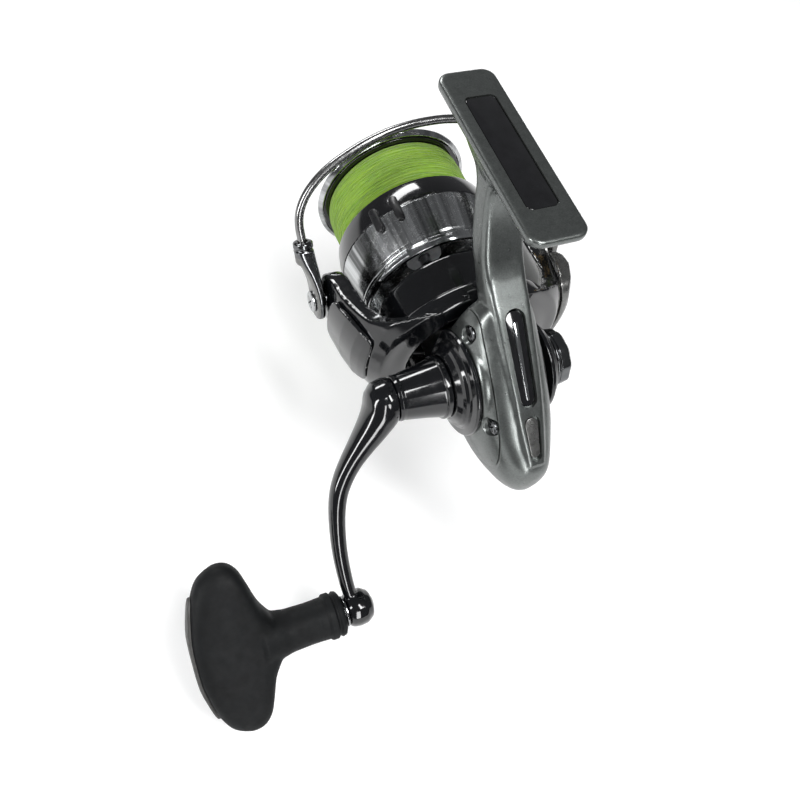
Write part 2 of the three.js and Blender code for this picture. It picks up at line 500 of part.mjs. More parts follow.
function bailArm() {
  const plate = sideways(turnedOutline(BAIL_AXIS, ROLLER_ANGLE, [
    ...arc(0, 0, 6.6, 60, 300, 12), [13, -3.4],
    ...arc(ROLLER_ARM, 0, 3.6, -80, 80, 6), [13, 3.4]]), -40.9, -38.6);
  const hub = rodY(-38.8, -37.0, 6.2, 12, BAIL_AXIS);
  return cut(join(plate, hub), rodY(-45, -30, BAIL_BORE, 8, BAIL_AXIS),
    rodY(-45, -30, ROLLER_BORE, 8, ROLLER_AXIS));
}
const LINE_ROLLER = [   // y, radius
  [-38.2, 2.4], [-38.2, 3.7], [-37.4, 3.6], [-36.1, 2.9], [-34.9, 3.6], [-34.2, 3.7],
  [-34.2, 2.4]];
addPiece('bail_wire', DARK, bailWire());
addPiece('bail_holder', DARK, bailHolder());
addPiece('bail_arm', SMOKE, bailArm());
addPiece('roller_screw', STEEL,
  join(rodY(-41.3, -32.0, 0.85, 8, ROLLER_AXIS), rodY(-42.0, -41.2, 2.1, 8, ROLLER_AXIS)));
addPiece('roller_bearing', STEEL, tubeY(-37.2, -35.0, 1.2, 2.1, 8, ROLLER_AXIS));
addPiece('line_roller', BRASS, latheY(LINE_ROLLER, 12, ROLLER_AXIS));
addPiece('pivot_screw_left', STEEL,
  join(rodY(31.2, 39.8, 1.75, 8, BAIL_AXIS), rodY(39.6, 40.5, 3.3, 12, BAIL_AXIS)));
addPiece('pivot_screw_right', STEEL,
  join(rodY(-41.4, -31.2, 1.75, 8, BAIL_AXIS), rodY(-42.3, -41.3, 3.3, 10, BAIL_AXIS)));

// ---------------------------------------------------------------- spool and drag
// Profiles are x, radius.
const SPOOL = [
  [51.4, 2.2], [66, 2.2], [66, 12.4], [79.2, 12.4], [79.2, 23.9], [77.2, 23.9], [77.2, 17.2],
  [60.3, 17.2], [60.3, 24.4], [59.3, 25.2], [55.6, 25.9], [51.5, 26.2], [46, 25.2],
  [40.2, 24.0], [39.3, 23.6], [39.3, 23.1], [57.8, 23.1], [57.8, 15.4], [63.5, 15.4],
  [63.5, 5.2], [51.4, 5.2]];
const LIP_RING = [
  [80.4, 22.0], [80.4, 23.6], [80.0, 24.9], [79.2, 25.5], [78.4, 25.5], [77.5, 24.6],
  [77.5, 24.2], [79.5, 24.2], [79.5, 22.0]];
const SKIRT_RING = [
  [35.7, 23.2], [35.7, 24.2], [36.2, 24.6], [38.4, 24.6], [39.0, 24.2], [39.0, 23.2]];
const WOUND_LINE = [
  [60.7, 17.5], [76.8, 17.5], [76.8, 22.4], [75, 22.9], [68.5, 23.1], [62, 22.9],
  [60.7, 22.4]];
const DRAG_KNOB = [
  [71.9, 0], [71.9, 11.0], [79.6, 11.0], [80.2, 11.8], [83.6, 11.8], [84.5, 10.8], [84.5, 0]];

// Flat pill on the skirt, placed by its angle from +Y towards +Z
const lineClip = degrees =>
  upright(roundedRect(51.5, 0, 8.6, 2.6, 1.25), 26.75, 27.55).rotate([degrees - 90, 0, 0]);
function dragKnob() {
  const flutes = repeat(8, i => rodX(79.6, 85.0, 1.2, 8, polar(11.9, rad(45 * i))));
  return cut(latheX(DRAG_KNOB, 18), rodX(70, 77, 2.1, 10), ...flutes);
}
addPiece('spool', STEEL, latheX(SPOOL, 28));
addPiece('spool_lip_ring', STEEL, latheX(LIP_RING, 36));
addPiece('skirt_ring', STEEL, latheX(SKIRT_RING, 28));
addPiece('fishing_line', LINE, latheX(WOUND_LINE, 24));
addPiece('line_clip_a', RUBBER, lineClip(47));
addPiece('line_clip_b', RUBBER, lineClip(62));
addPiece('spool_seat', ZINC, tubeX(49.2, 51.1, 2.1, 6.0, 12));
addPiece('drag_washer_rear', FELT, tubeX(66.4, 67.6, 2.3, 11.6, 14));
addPiece('drag_washer_metal', STEEL, tubeX(67.9, 68.8, 2.3, 11.6, 14));
addPiece('drag_washer_front', FELT, tubeX(69.1, 70.3, 2.3, 11.6, 14));
addPiece('drag_retainer', STEEL, tubeX(70.7, 71.3, 10.6, 12.1, 14));
addPiece('drag_knob', BLACK, dragKnob());

// ---------------------------------------------------------------- handle
const SHANK = [   // y, radius
  [16.3, 0], [16.3, 8.8], [17.0, 9.1], [18.2, 9.0], [18.8, 8.4], [22.5, 7.6], [29.5, 6.4],
  [31.0, 6.2], [31.0, 0]];
const HANDLE_ARM = [   // distance from the handle axis, y, half width, half height
  [-4.6, 33.0, 4.2, 3.6], [-2, 33.4, 6.0, 5.2], [2.0, 34.6, 6.4, 5.4], [6.0, 37.6, 5.4, 4.6],
  [10.5, 41.8, 4.4, 3.7], [14.6, 45.5, 3.6, 3.1], [19, 48.6, 3.1, 2.8], [24, 50.9, 2.7, 2.6],
  [31, 52.4, 2.5, 2.4], [40.6, 53.2, 2.35, 2.3], [50, 53.0, 2.2, 2.1], [57.4, 52.2, 2.1, 2.0],
  [HANDLE_LENGTH + 1.6, 51.6, 2.2, 2.1]];
const ARM_END = [   // y, radius
  [46.3, 0], [46.6, 2.4], [47.6, 4.1], [49.4, 5.2], [51.4, 5.4], [53.2, 5.1], [54.6, 4.4],
  [54.6, 0]];

function handleArm() {
  const across = vec3(-Math.sin(HANDLE_ANGLE), 0, Math.cos(HANDLE_ANGLE));
  const centres = HANDLE_ARM.map(([along, y]) => {
    const [x, z] = turned(GEAR_AXIS, HANDLE_ANGLE, [along, 0]);
    return vec3(x, y, z);
  });
  const bar = loft(HANDLE_ARM.map(([, , halfWidth, halfHeight], i) => {
    const before = centres[Math.max(0, i - 1)];
    const after = centres[Math.min(centres.length - 1, i + 1)];
    const up = across.clone().cross(after.clone().sub(before)).normalize();
    return repeat(12, k =>
      ringPoint(centres[i], across, up, halfWidth, halfHeight, rad(30 * k)));
  }));
  return cut(join(bar, rodY(31.3, 36, 6.0, 16, GEAR_AXIS), latheY(ARM_END, 36, KNOB_AXIS)),
    rodY(20, 31.3, 12, 8, GEAR_AXIS),              // flat root face against the shank
    rodY(48.4, 56, 1.55, 8, KNOB_AXIS));
}
addPiece('handle_shank', BLACK,
  join(latheY(SHANK, 14, GEAR_AXIS), rodY(5.0, 16.4, 1.85, 8, GEAR_AXIS)));
addPiece('handle_arm', BLACK, handleArm());
addPiece('knob_shaft', STEEL, rodY(48.9, 93, 1.25, 8, KNOB_AXIS));
addPiece('knob_washer', STEEL, tubeY(54.7, 55.3, 1.6, 4.4, 10, KNOB_AXIS));
addPiece('knob_bearing_inner', STEEL, tubeY(56.8, 60.0, 1.6, 3.4, 10, KNOB_AXIS));
addPiece('knob_bearing_outer', STEEL, tubeY(88.4, 91.6, 1.6, 3.4, 10, KNOB_AXIS));

// ---------------------------------------------------------------- handle knob
const T_BAR = [   // y, half length, half thickness
  [75.4, 6.2, 5.8], [78.4, 10.5, 6.3], [80.6, 19, 6.6], [82.6, 23.6, 6.7], [86, 25.2, 6.8],
  [91, 24.4, 6.6], [94.5, 21.4, 6.2], [97.0, 15, 5.6], [98.6, 9, 4.6]];
const T_BAR_POWER = 0.62;   // below 1 squares the section off
const KNOB_NECK = [   // y, radius
  [55.7, 0], [55.7, 5.4], [56.6, 6.5], [60.6, 6.6], [61.6, 5.9], [66, 5.7], [72, 5.9],
  [76.6, 6.6], [76.6, 0]];

const tBar = loft(T_BAR.map(([y, halfLength, halfThickness]) => repeat(18, (k) => {
  const [along, across] = polar(1, rad(20 * k)).map(value => signedPower(value, T_BAR_POWER));
  const [x, z] = turned(KNOB_AXIS, T_BAR_ANGLE, [along * halfLength, across * halfThickness]);
  return vec3(x, y, z);
})));
// Thin oval shell that follows the crowned outer end of the T-bar
function knobEndPlate() {
  const oval = arc(0, 0, 1, 0, 345, 23).map(([along, across]) => [19.0 * along, 4.3 * across]);
  const column = sideways(turnedOutline(KNOB_AXIS, T_BAR_ANGLE, oval), 90, 110);
  return cut(tBar.translate([0, 0.9, 0]).intersect(column), tBar.translate([0, 0.02, 0]));
}
addPiece('handle_knob', RUBBER,
  cut(join(tBar, latheY(KNOB_NECK, 12, KNOB_AXIS)), rodY(50, 95, 3.7, 10, KNOB_AXIS)));
addPiece('knob_end_plate', ZINC, knobEndPlate());

export default reel;
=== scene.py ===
"""Spinning reel: gearbox with stem and foot, handle, rotor, bail, spool and drag knob.

Sizes are in mm, measured from the point of the main-shaft axis under the drive gear. +X runs
forward along the shaft to the spool, +Y is the left side, where the handle is, and +Z points up
to the foot. SHIFT carries finished pieces from there into the frame of the CAD parts.
"""
import json
import math

import bmesh
import bpy
import numpy as np
from mathutils import Matrix, Vector


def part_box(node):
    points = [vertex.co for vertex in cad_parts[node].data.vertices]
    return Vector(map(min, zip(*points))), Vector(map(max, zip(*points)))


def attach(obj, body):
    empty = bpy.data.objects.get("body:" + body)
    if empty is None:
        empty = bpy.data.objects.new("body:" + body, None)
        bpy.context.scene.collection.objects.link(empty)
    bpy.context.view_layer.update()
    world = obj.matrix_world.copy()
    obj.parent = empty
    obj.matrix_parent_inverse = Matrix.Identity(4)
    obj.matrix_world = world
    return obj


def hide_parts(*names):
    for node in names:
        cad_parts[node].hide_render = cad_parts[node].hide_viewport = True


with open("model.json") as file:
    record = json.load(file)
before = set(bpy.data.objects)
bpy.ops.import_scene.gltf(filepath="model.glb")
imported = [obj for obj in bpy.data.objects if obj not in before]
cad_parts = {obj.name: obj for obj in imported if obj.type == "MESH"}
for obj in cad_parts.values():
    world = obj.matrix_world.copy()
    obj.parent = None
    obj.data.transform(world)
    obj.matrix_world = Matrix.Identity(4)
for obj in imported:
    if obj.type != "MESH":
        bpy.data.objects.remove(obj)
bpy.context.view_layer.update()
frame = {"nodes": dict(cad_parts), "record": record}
MM = 0.001
SCENE = bpy.context.scene

# ---------------------------------------------------------------- shared dimensions, mm
SHAFT_REAR = -9.6
_low, _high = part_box("main_shaft")
SHIFT = Vector((_low.x - SHAFT_REAR * MM, 0, (_low.z + _high.z) / 2))

HANDLE_Z = 7.0
HANDLE = (0, HANDLE_Z)             # x, z of the handle axis
CRANK_ANGLE = math.radians(227.3)  # from +X towards +Z
CRANK_LENGTH = 60.0
KNOB_X = math.cos(CRANK_ANGLE) * CRANK_LENGTH
KNOB_Z = HANDLE_Z + math.sin(CRANK_ANGLE) * CRANK_LENGTH
KNOB = (KNOB_X, KNOB_Z)
KNOB_TURN = math.radians(41.5)     # long side of the grip, from +X towards +Z
BOX_REAR, BOX_FRONT = -32.3, 10.8  # gearbox ends
COVER_Y = 8.6                      # inner edge of the side cover
FOOT_X = 26.0
BAIL_X = 42.0
PIVOT = (BAIL_X, 0)                # x, z of the bail axis
BAIL_TILT = math.radians(60)
ROLLER_REACH = 20.0
ROLLER = (BAIL_X, ROLLER_REACH)
PIVOT_HOLE_R = 2.1
ROLLER_HOLE_R = 1.2


# ---------------------------------------------------------------- mesh helpers
def clean(mesh):
    """Merges doubled points and turns the faces outward."""
    edit = bmesh.new()
    edit.from_mesh(mesh)
    bmesh.ops.remove_doubles(edit, verts=edit.verts, dist=1e-7)
    bmesh.ops.recalc_face_normals(edit, faces=edit.faces)
    edit.to_mesh(mesh)
    edit.free()


def add_object(name, mesh):
    piece = bpy.data.objects.new(name, mesh)
    SCENE.collection.objects.link(piece)
    return piece


def make(name, points, faces, smooth=True):
    mesh = bpy.data.meshes.new(name)
    mesh.from_pydata([(x * MM, y * MM, z * MM) for x, y, z in points], [], faces)
    clean(mesh)
    piece = add_object(name, mesh)
    if smooth:
        shade(piece, 38)
    return piece


def shade(piece, degrees):
    """Smooth shading, with edges sharper than the angle kept crisp."""
    mesh = piece.data
    mesh.polygons.foreach_set("use_smooth", [True] * len(mesh.polygons))
    mesh.set_sharp_from_angle(angle=math.radians(degrees))
    mesh.update()


def round_corners(points, closed, steps):
    """Rounds the corners of a profile; the third number of a point is its own radius."""
    result = []
    count = len(points)
    for i, point in enumerate(points):
        radius = point[2] if len(point) > 2 else 0.35
        if (not closed and i in (0, count - 1)) or radius <= 0:
            result.append(point[:2])
            continue
        corner = Vector(point[:2])
        before = Vector((points[i - 1][0] - point[0], points[i - 1][1] - point[1]))
        after = points[(i + 1) % count]
        after = Vector((after[0] - point[0], after[1] - point[1]))
        reach = 0.45 * before.length, 0.45 * after.length
        before.normalize()
        after.normalize()
        angle = before.angle(after)
        if angle > math.radians(172):
            result.append(point[:2])
            continue
        setback = min(radius / math.tan(angle / 2), *reach)
        start, end = corner + before * setback, corner + after * setback
        for k in range(steps + 1):
            t = k / steps
            bend = start * (1 - t) ** 2 + corner * 2 * t * (1 - t) + end * t * t
            result.append((bend.x, bend.y))
    return result


def lathe(name, points, axis="x", at=(0, 0), seg=120, steps=4, shape=None):
    """Turned solid from (station, radius[, corner radius]) points.

    The axis passes through at; shape(station, radius, angle) can vary the radius around it.
    """
    def put(station, across, up):
        across += at[0]
        up += at[1]
        return (station, across, up) if axis == "x" else (across, station, up)

    on_axis = points[0][1] < 1e-6 and points[-1][1] < 1e-6
    verts, rings = [], []
    for station, radius in round_corners(points, not on_axis, steps):
        first = len(verts)
        if radius < 1e-6:
            verts.append(put(station, 0, 0))
        else:
            for k in range(seg):
                angle = 2 * math.pi * k / seg
                r = shape(station, radius, angle) if shape else radius
                verts.append(put(station, r * math.cos(angle), r * math.sin(angle)))
        rings.append(range(first, len(verts)))
    faces = []
    for i in range(len(rings) - on_axis):
        here, there = rings[i], rings[(i + 1) % len(rings)]
        for k in range(seg):
            k2 = (k + 1) % seg
            if len(here) == 1:
                faces.append((here[0], there[k], there[k2]))
            elif len(there) == 1:
                faces.append((here[k], there[0], here[k2]))
            else:
                faces.append((here[k], there[k], there[k2], here[k2]))
    return make(name, verts, faces)


def cylinder(axis, start, end, radius, at=(0, 0), seg=72):
    profile = [(start, 0), (start, radius, 0), (end, radius, 0), (end, 0)]
    return lathe("cylinder", profile, axis, at, seg)


def loft(name, rings):
    """Skin over rings of equal point count, with a fan over each end."""
    count = len(rings[0])
    verts = [point for ring in rings for point in ring]
    faces = []
    for start in range(0, (len(rings) - 1) * count, count):
        for i in range(count):
            a, b = start + i, start + (i + 1) % count
            faces.append((a, b, b + count, a + count))
    for start, ring in ((0, rings[0]), ((len(rings) - 1) * count, rings[-1])):
        verts.append(tuple(np.mean(np.array(ring, float), axis=0)))
        for i in range(count):
            faces.append((len(verts) - 1, start + i, start + (i + 1) % count))
    return make(name, verts, faces)


def prism(name, outline, low, high, plane="xz", edge=0.0):
    """Outline extruded from low to high across its plane, with rims rounded by edge."""
    def unit(vectors):
        return vectors / (np.linalg.norm(vectors, axis=1, keepdims=True) + 1e-12)

    points = np.array(outline, float)
    following = np.roll(points, -1, axis=0)
    edges = unit(following - points)
    tangent = np.roll(edges, 1, axis=0) + edges
    inward = unit(np.stack([-tangent[:, 1], tangent[:, 0]], axis=1))
    if np.sum(points[:, 0] * following[:, 1] - following[:, 0] * points[:, 1]) <= 0:
        inward = -inward
    angles = [math.pi / 2 * k / 3 for k in (range(4) if edge else [3])]
    rim = [(edge * (1 - math.sin(q)), edge * (1 - math.cos(q))) for q in angles]
    levels = [(inset, low + rise) for inset, rise in rim]
    levels += [(inset, high - rise) for inset, rise in reversed(rim)]
    put = {
        "xz": lambda a, b, level: (a, level, b),
        "xy": lambda a, b, level: (a, b, level),
    }[plane]
    return loft(name, [[put(a, b, level) for a, b in points + inward * inset]
                       for inset, level in levels])


def box(xs, ys, zs):
    corners = [(x, y, z) for x in xs for y in ys for z in zs]
    faces = [(0, 1, 3, 2), (4, 6, 7, 5), (0, 4, 5, 1), (2, 3, 7, 6), (0, 2, 6, 4), (1, 5, 7, 3)]
    return make("box", corners, faces, smooth=False)


def spline(points, count, closed=False):
    """Points along a smooth curve through the given ones."""
    p = np.array(points, float)
    if closed:
        p = np.vstack([p[-1], p, p[0], p[1]])
    else:
        p = np.vstack([2 * p[0] - p[1], p, 2 * p[-1] - p[-2]])
    spans = len(p) - 3
    result = []
    for k in range(count):
        t = k * spans / (count if closed else count - 1)
        i = min(int(t), spans - 1)
        f = t - i
        a, b, c, d = p[i:i + 4]
        result.append(0.5 * ((2 * b) + (c - a) * f + (2 * a - 5 * b + 4 * c - d) * f * f
                             + (-a + 3 * b - 3 * c + d) * f ** 3))
    return np.array(result)


def rounded_rectangle(center_x, length, width, radius, steps=8):
    points = []
    for sx, sy, start in ((1, 1, 0), (-1, 1, 90), (-1, -1, 180), (1, -1, 270)):
        for i in range(steps + 1):
            a = math.radians(start + 90 * i / steps)
            points.append((center_x + sx * (length / 2 - radius) + radius * math.cos(a),
                           sy * (width / 2 - radius) + radius * math.sin(a)))
    return points


def signed_power(value, power):
    return math.copysign(abs(value) ** power, value)


def oval(count, power_u=1, power_v=1):
    """Points around a unit circle, squarer for powers under 1."""
    angles = [2 * math.pi * k / count for k in range(count)]
    return [(signed_power(math.cos(q), power_u), signed_power(math.sin(q), power_v))
            for q in angles]


def tube(name, path, radii, seg):
    tangents = np.gradient(path, axis=0)
    tangents /= np.linalg.norm(tangents, axis=1)[:, None]
    normal = np.cross(tangents[0], (0, 0, 1.0))
    normal /= np.linalg.norm(normal)
    rings = []
    for center, tangent, radius in zip(path, tangents, radii):
        normal = normal - tangent * (normal @ tangent)
        normal /= np.linalg.norm(normal)
        side = np.cross(tangent, normal)
        rings.append([tuple(center + radius * (u * normal + v * side)) for u, v in oval(seg)])
    return loft(name, rings)


def evaluated_mesh(piece):
    """Mesh of the piece with its modifiers worked in; the modifiers are removed."""
    graph = bpy.context.evaluated_depsgraph_get()
    mesh = bpy.data.meshes.new_from_object(piece.evaluated_get(graph))
    piece.modifiers.clear()
    return mesh


def swap_mesh(piece, mesh):
    old = piece.data
    piece.data = mesh
    bpy.data.meshes.remove(old)


def modify(piece, kind, **settings):
    modifier = piece.modifiers.new(kind.lower(), kind)
    for key, value in settings.items():
        setattr(modifier, key, value)
    swap_mesh(piece, evaluated_mesh(piece))


def melt(name, pieces, voxel, smooth):
    """One cast-looking skin around overlapping solids, with small natural fillets."""
    edit = bmesh.new()
    for piece in pieces:
        edit.from_mesh(piece.data)
    mesh = bpy.data.meshes.new(name)
    edit.to_mesh(mesh)
    edit.free()
    for piece in pieces:
        bpy.data.objects.remove(piece)
    skin = add_object(name, mesh)
    modify(skin, "REMESH", mode="VOXEL", voxel_size=voxel * MM, adaptivity=0)
    modify(skin, "SMOOTH", factor=0.5, iterations=smooth)
    shade(skin, 60)
    return skin


def boolean(piece, operation, tools):
    for tool in tools:
        count = len(piece.data.vertices)
        sum_x = sum(v.co.x for v in piece.data.vertices)
        # The quick solver can fail and leave nothing or no change; the exact one then steps in.
        for solver in ("MANIFOLD", "EXACT"):
            modifier = piece.modifiers.new("boolean", "BOOLEAN")
            modifier.operation = operation
            modifier.solver = solver
            modifier.object = tool
            mesh = evaluated_mesh(piece)
            changed = len(mesh.vertices) > 0 and (
                len(mesh.vertices) != count
                or abs(sum(v.co.x for v in mesh.vertices) - sum_x) > 1e-9)
            if changed or solver == "EXACT":
                swap_mesh(piece, mesh)
                break
            bpy.data.meshes.remove(mesh)
        bpy.data.objects.remove(tool)


def cut(piece, *tools):
    boolean(piece, "DIFFERENCE", tools)


def fuse(piece, *tools):
    boolean(piece, "UNION", tools)


def keep(piece, *tools):
    boolean(piece, "INTERSECT", tools)


# ---------------------------------------------------------------- materials
def gain(colour, factor):
    return tuple(min(1, c * factor) for c in colour) + (1,)


class Nodes:
    """Adds nodes to a tree; an input is given as a value or as the socket that feeds it."""

    def __init__(self, tree):
        self.tree = tree

    def feed(self, node, inputs):
        for key, value in inputs.items():
            if isinstance(value, bpy.types.NodeSocket):
                self.tree.links.new(value, node.inputs[key])
            else:
                node.inputs[key].default_value = value

    def node(self, kind, inputs={}, **settings):
        node = self.tree.nodes.new("ShaderNode" + kind)
        for key, value in settings.items():
            setattr(node, key, value)
        self.feed(node, inputs)
        return node

    def ramp(self, value, start, end, low=0.0, high=1.0):
        inputs = {"Value": value, "From Min": start, "From Max": end,
                  "To Min": low, "To Max": high}
        return self.node("MapRange", inputs).outputs["Result"]

    def mix(self, factor, first, second):
        return self.node("Mix", {0: factor, 6: first, 7: second}, data_type="RGBA").outputs[2]

    def math(self, operation, first, second=0.0):
        return self.node("Math", {0: first, 1: second}, operation=operation).outputs[0]


class Surface(Nodes):
    """One material, with the colour, roughness and bump height built so far."""

    def __init__(self, name, base):
        self.material = bpy.data.materials.new(name)
        self.material.use_nodes = True
        super().__init__(self.material.node_tree)
        self.base = base
        self.position = self.node("TexCoord").outputs["Object"]

    def noise(self, scale, detail, roughness=0.55, vector=None, stretch=None):
        vector = vector or self.position
        if stretch:
            mapping = self.node("Mapping", {"Vector": vector, "Scale": stretch})
            vector = mapping.outputs["Vector"]
        inputs = {"Scale": scale, "Detail": detail, "Roughness": roughness, "Vector": vector}
        return self.node("TexNoise", inputs).outputs["Fac"]

    def split_position(self):
        return self.node("SeparateXYZ", {0: self.position}).outputs

    def add_flake(self, amount):
        """Metallic flecks, as in car paint."""
        cells = self.node("TexVoronoi", {"Vector": self.position, "Scale": 3600.0})
        grey = self.node("RGBToBW", {"Color": cells.outputs["Color"]}).outputs[0]
        fleck = self.math("MULTIPLY", grey, amount)
        self.colour = self.mix(fleck, self.colour, (0.9, 0.92, 0.9, 1))
        self.height = self.math("ADD", self.height, self.math("MULTIPLY", grey, 0.6))

    def add_brushing(self, stretch, mottle):
        """Fine lines across the axes with the large stretch."""
        lines = self.noise(1400.0, 3.0, 0.6, stretch=stretch)
        self.rough = self.math("ADD", self.rough, self.ramp(lines, 0.35, 0.65, -0.05, 0.07))
        self.height = self.math("ADD", self.height, self.math("MULTIPLY", lines, 0.8))
        if mottle:
            factor = self.ramp(lines, 0.3, 0.7, 0.0, 0.25)
            self.colour = self.mix(factor, self.colour, gain(self.base, 1 + mottle))

    def paint_reflection_streaks(self, scale, dark, light):
        """Painted reflections: light and dark rays in the colour that change only with the angle
        around the main shaft.
        """
        position = self.split_position()
        up = self.math("SUBTRACT", position[2], SHIFT.z)
        angle = self.math("ARCTAN2", up, position[1])
        around = self.node("CombineXYZ", {0: self.math("COSINE", angle),
                                          1: self.math("SINE", angle)}).outputs[0]
        # Painted reflection: lighter and darker rays in the colour stand in for studio lights
        # mirrored in turned metal.
        rays = self.noise(scale, 5.0, 0.62, vector=around)
        self.colour = self.mix(self.ramp(rays, 0.40, 0.62),
                               gain(self.base, dark), gain(self.base, light))

    def add_specks(self, colour, seam_y, reach):
        """Dull specks that fade out within reach of a seam across Y, both in mm."""
        mask = self.ramp(self.noise(1500.0, 6.0, 0.7), 0.60, 0.66)
        offset = self.math("SUBTRACT", self.split_position()[1], seam_y * MM)
        near = self.ramp(self.math("ABSOLUTE", offset), reach * MM, 0.0)
        mask = self.math("MULTIPLY", mask, near)
        self.colour = self.mix(mask, self.colour, colour + (1,))
        self.rough = self.math("ADD", self.rough, self.math("MULTIPLY", mask, 0.25))

    def add_threads(self, scale, distortion, detail_scale):
        """Wound turns across X, with painted shade in the grooves and painted highlights on the
        strands; sets the bump height.
        """
        wave = self.node("TexWave", {
            "Scale": scale, "Distortion": distortion, "Detail": 2.0,
            "Detail Scale": detail_scale, "Vector": self.position}).outputs["Fac"]
        strand = self.noise(500.0, 3.0, 0.6, stretch=(14.0, 0.25, 0.25))
        # Painted shade: the grooves between turns are darkened in the colour.
        groove = self.ramp(wave, 0.0, 0.8, 0.75, 0.0)
        self.colour = self.mix(groove, self.colour, gain(self.base, 0.42))
        # Painted highlight: lighter yellow-green strands stand in for light on single turns.
        painted_strand_highlight = self.ramp(strand, 0.35, 0.68, 0.0, 0.75)
        self.colour = self.mix(painted_strand_highlight, self.colour, (0.50, 0.76, 0.05, 1))
        self.height = self.math("ADD", self.math("MULTIPLY", wave, 2.2),
                                self.math("MULTIPLY", strand, 1.2))

    def add_wear(self, colour, amount):
        """Paler, duller patches on convex edges."""
        pointiness = self.node("NewGeometry").outputs["Pointiness"]
        edge = self.ramp(pointiness, 0.52, 0.60)
        patches = self.ramp(self.noise(700.0, 5.0, 0.7), 0.42, 0.62)
        mask = self.math("MULTIPLY", self.math("MULTIPLY", edge, patches), amount)
        self.colour = self.mix(mask, self.colour, colour + (1,))
        self.rough = self.math("ADD", self.rough, self.math("MULTIPLY", mask, 0.12))


def surface(name, base, rough, metal, bump, bump_scale=None, mottle=None, grain=260.0,
            rough_var=0.08, flake=0.0, brushed=None, painted_reflection_streaks=None, specks=None, threads=None,
            wear=None, wear_amount=0.30, coat=0.0, sheen=0.0, spec=0.5):
    """Material from a row of FINISHES."""
    s = Surface(name, base)
    if bump_scale:
        s.height = s.noise(bump_scale, 5.0, 0.6)
    if mottle:
        s.colour = s.mix(s.ramp(s.noise(grain, 3.0), 0.3, 0.7),
                         gain(base, 1 - mottle), gain(base, 1 + mottle))
    s.rough = s.ramp(s.noise(grain * 2.3, 4.0), 0.3, 0.7,
                     max(0.02, rough - rough_var), min(1, rough + rough_var))
    if flake:
        s.add_flake(flake)
    if brushed:
        s.add_brushing(brushed, mottle)
    if painted_reflection_streaks:
        # Painted reflection rays around the shaft, in the colour.
        s.paint_reflection_streaks(**painted_reflection_streaks)
    if specks:
        s.add_specks(**specks)
    # Wound line, with painted shade in its grooves and painted highlights on its strands.
    if threads:
        s.add_threads(**threads)
    s.add_wear(wear or tuple(min(1.0, c * 1.5 + 0.025) for c in base), wear_amount)
    relief = s.node("Bump", {"Strength": 1.0, "Distance": bump, "Height": s.height})
    s.feed(s.tree.nodes["Principled BSDF"], {
        "Base Color": s.colour, "Roughness": s.rough, "Metallic": metal,
        "Coat Weight": coat, "Coat Roughness": 0.05, "Sheen Weight": sheen,
        "Specular IOR Level": spec, "Normal": relief.outputs["Normal"]})
    return s.material
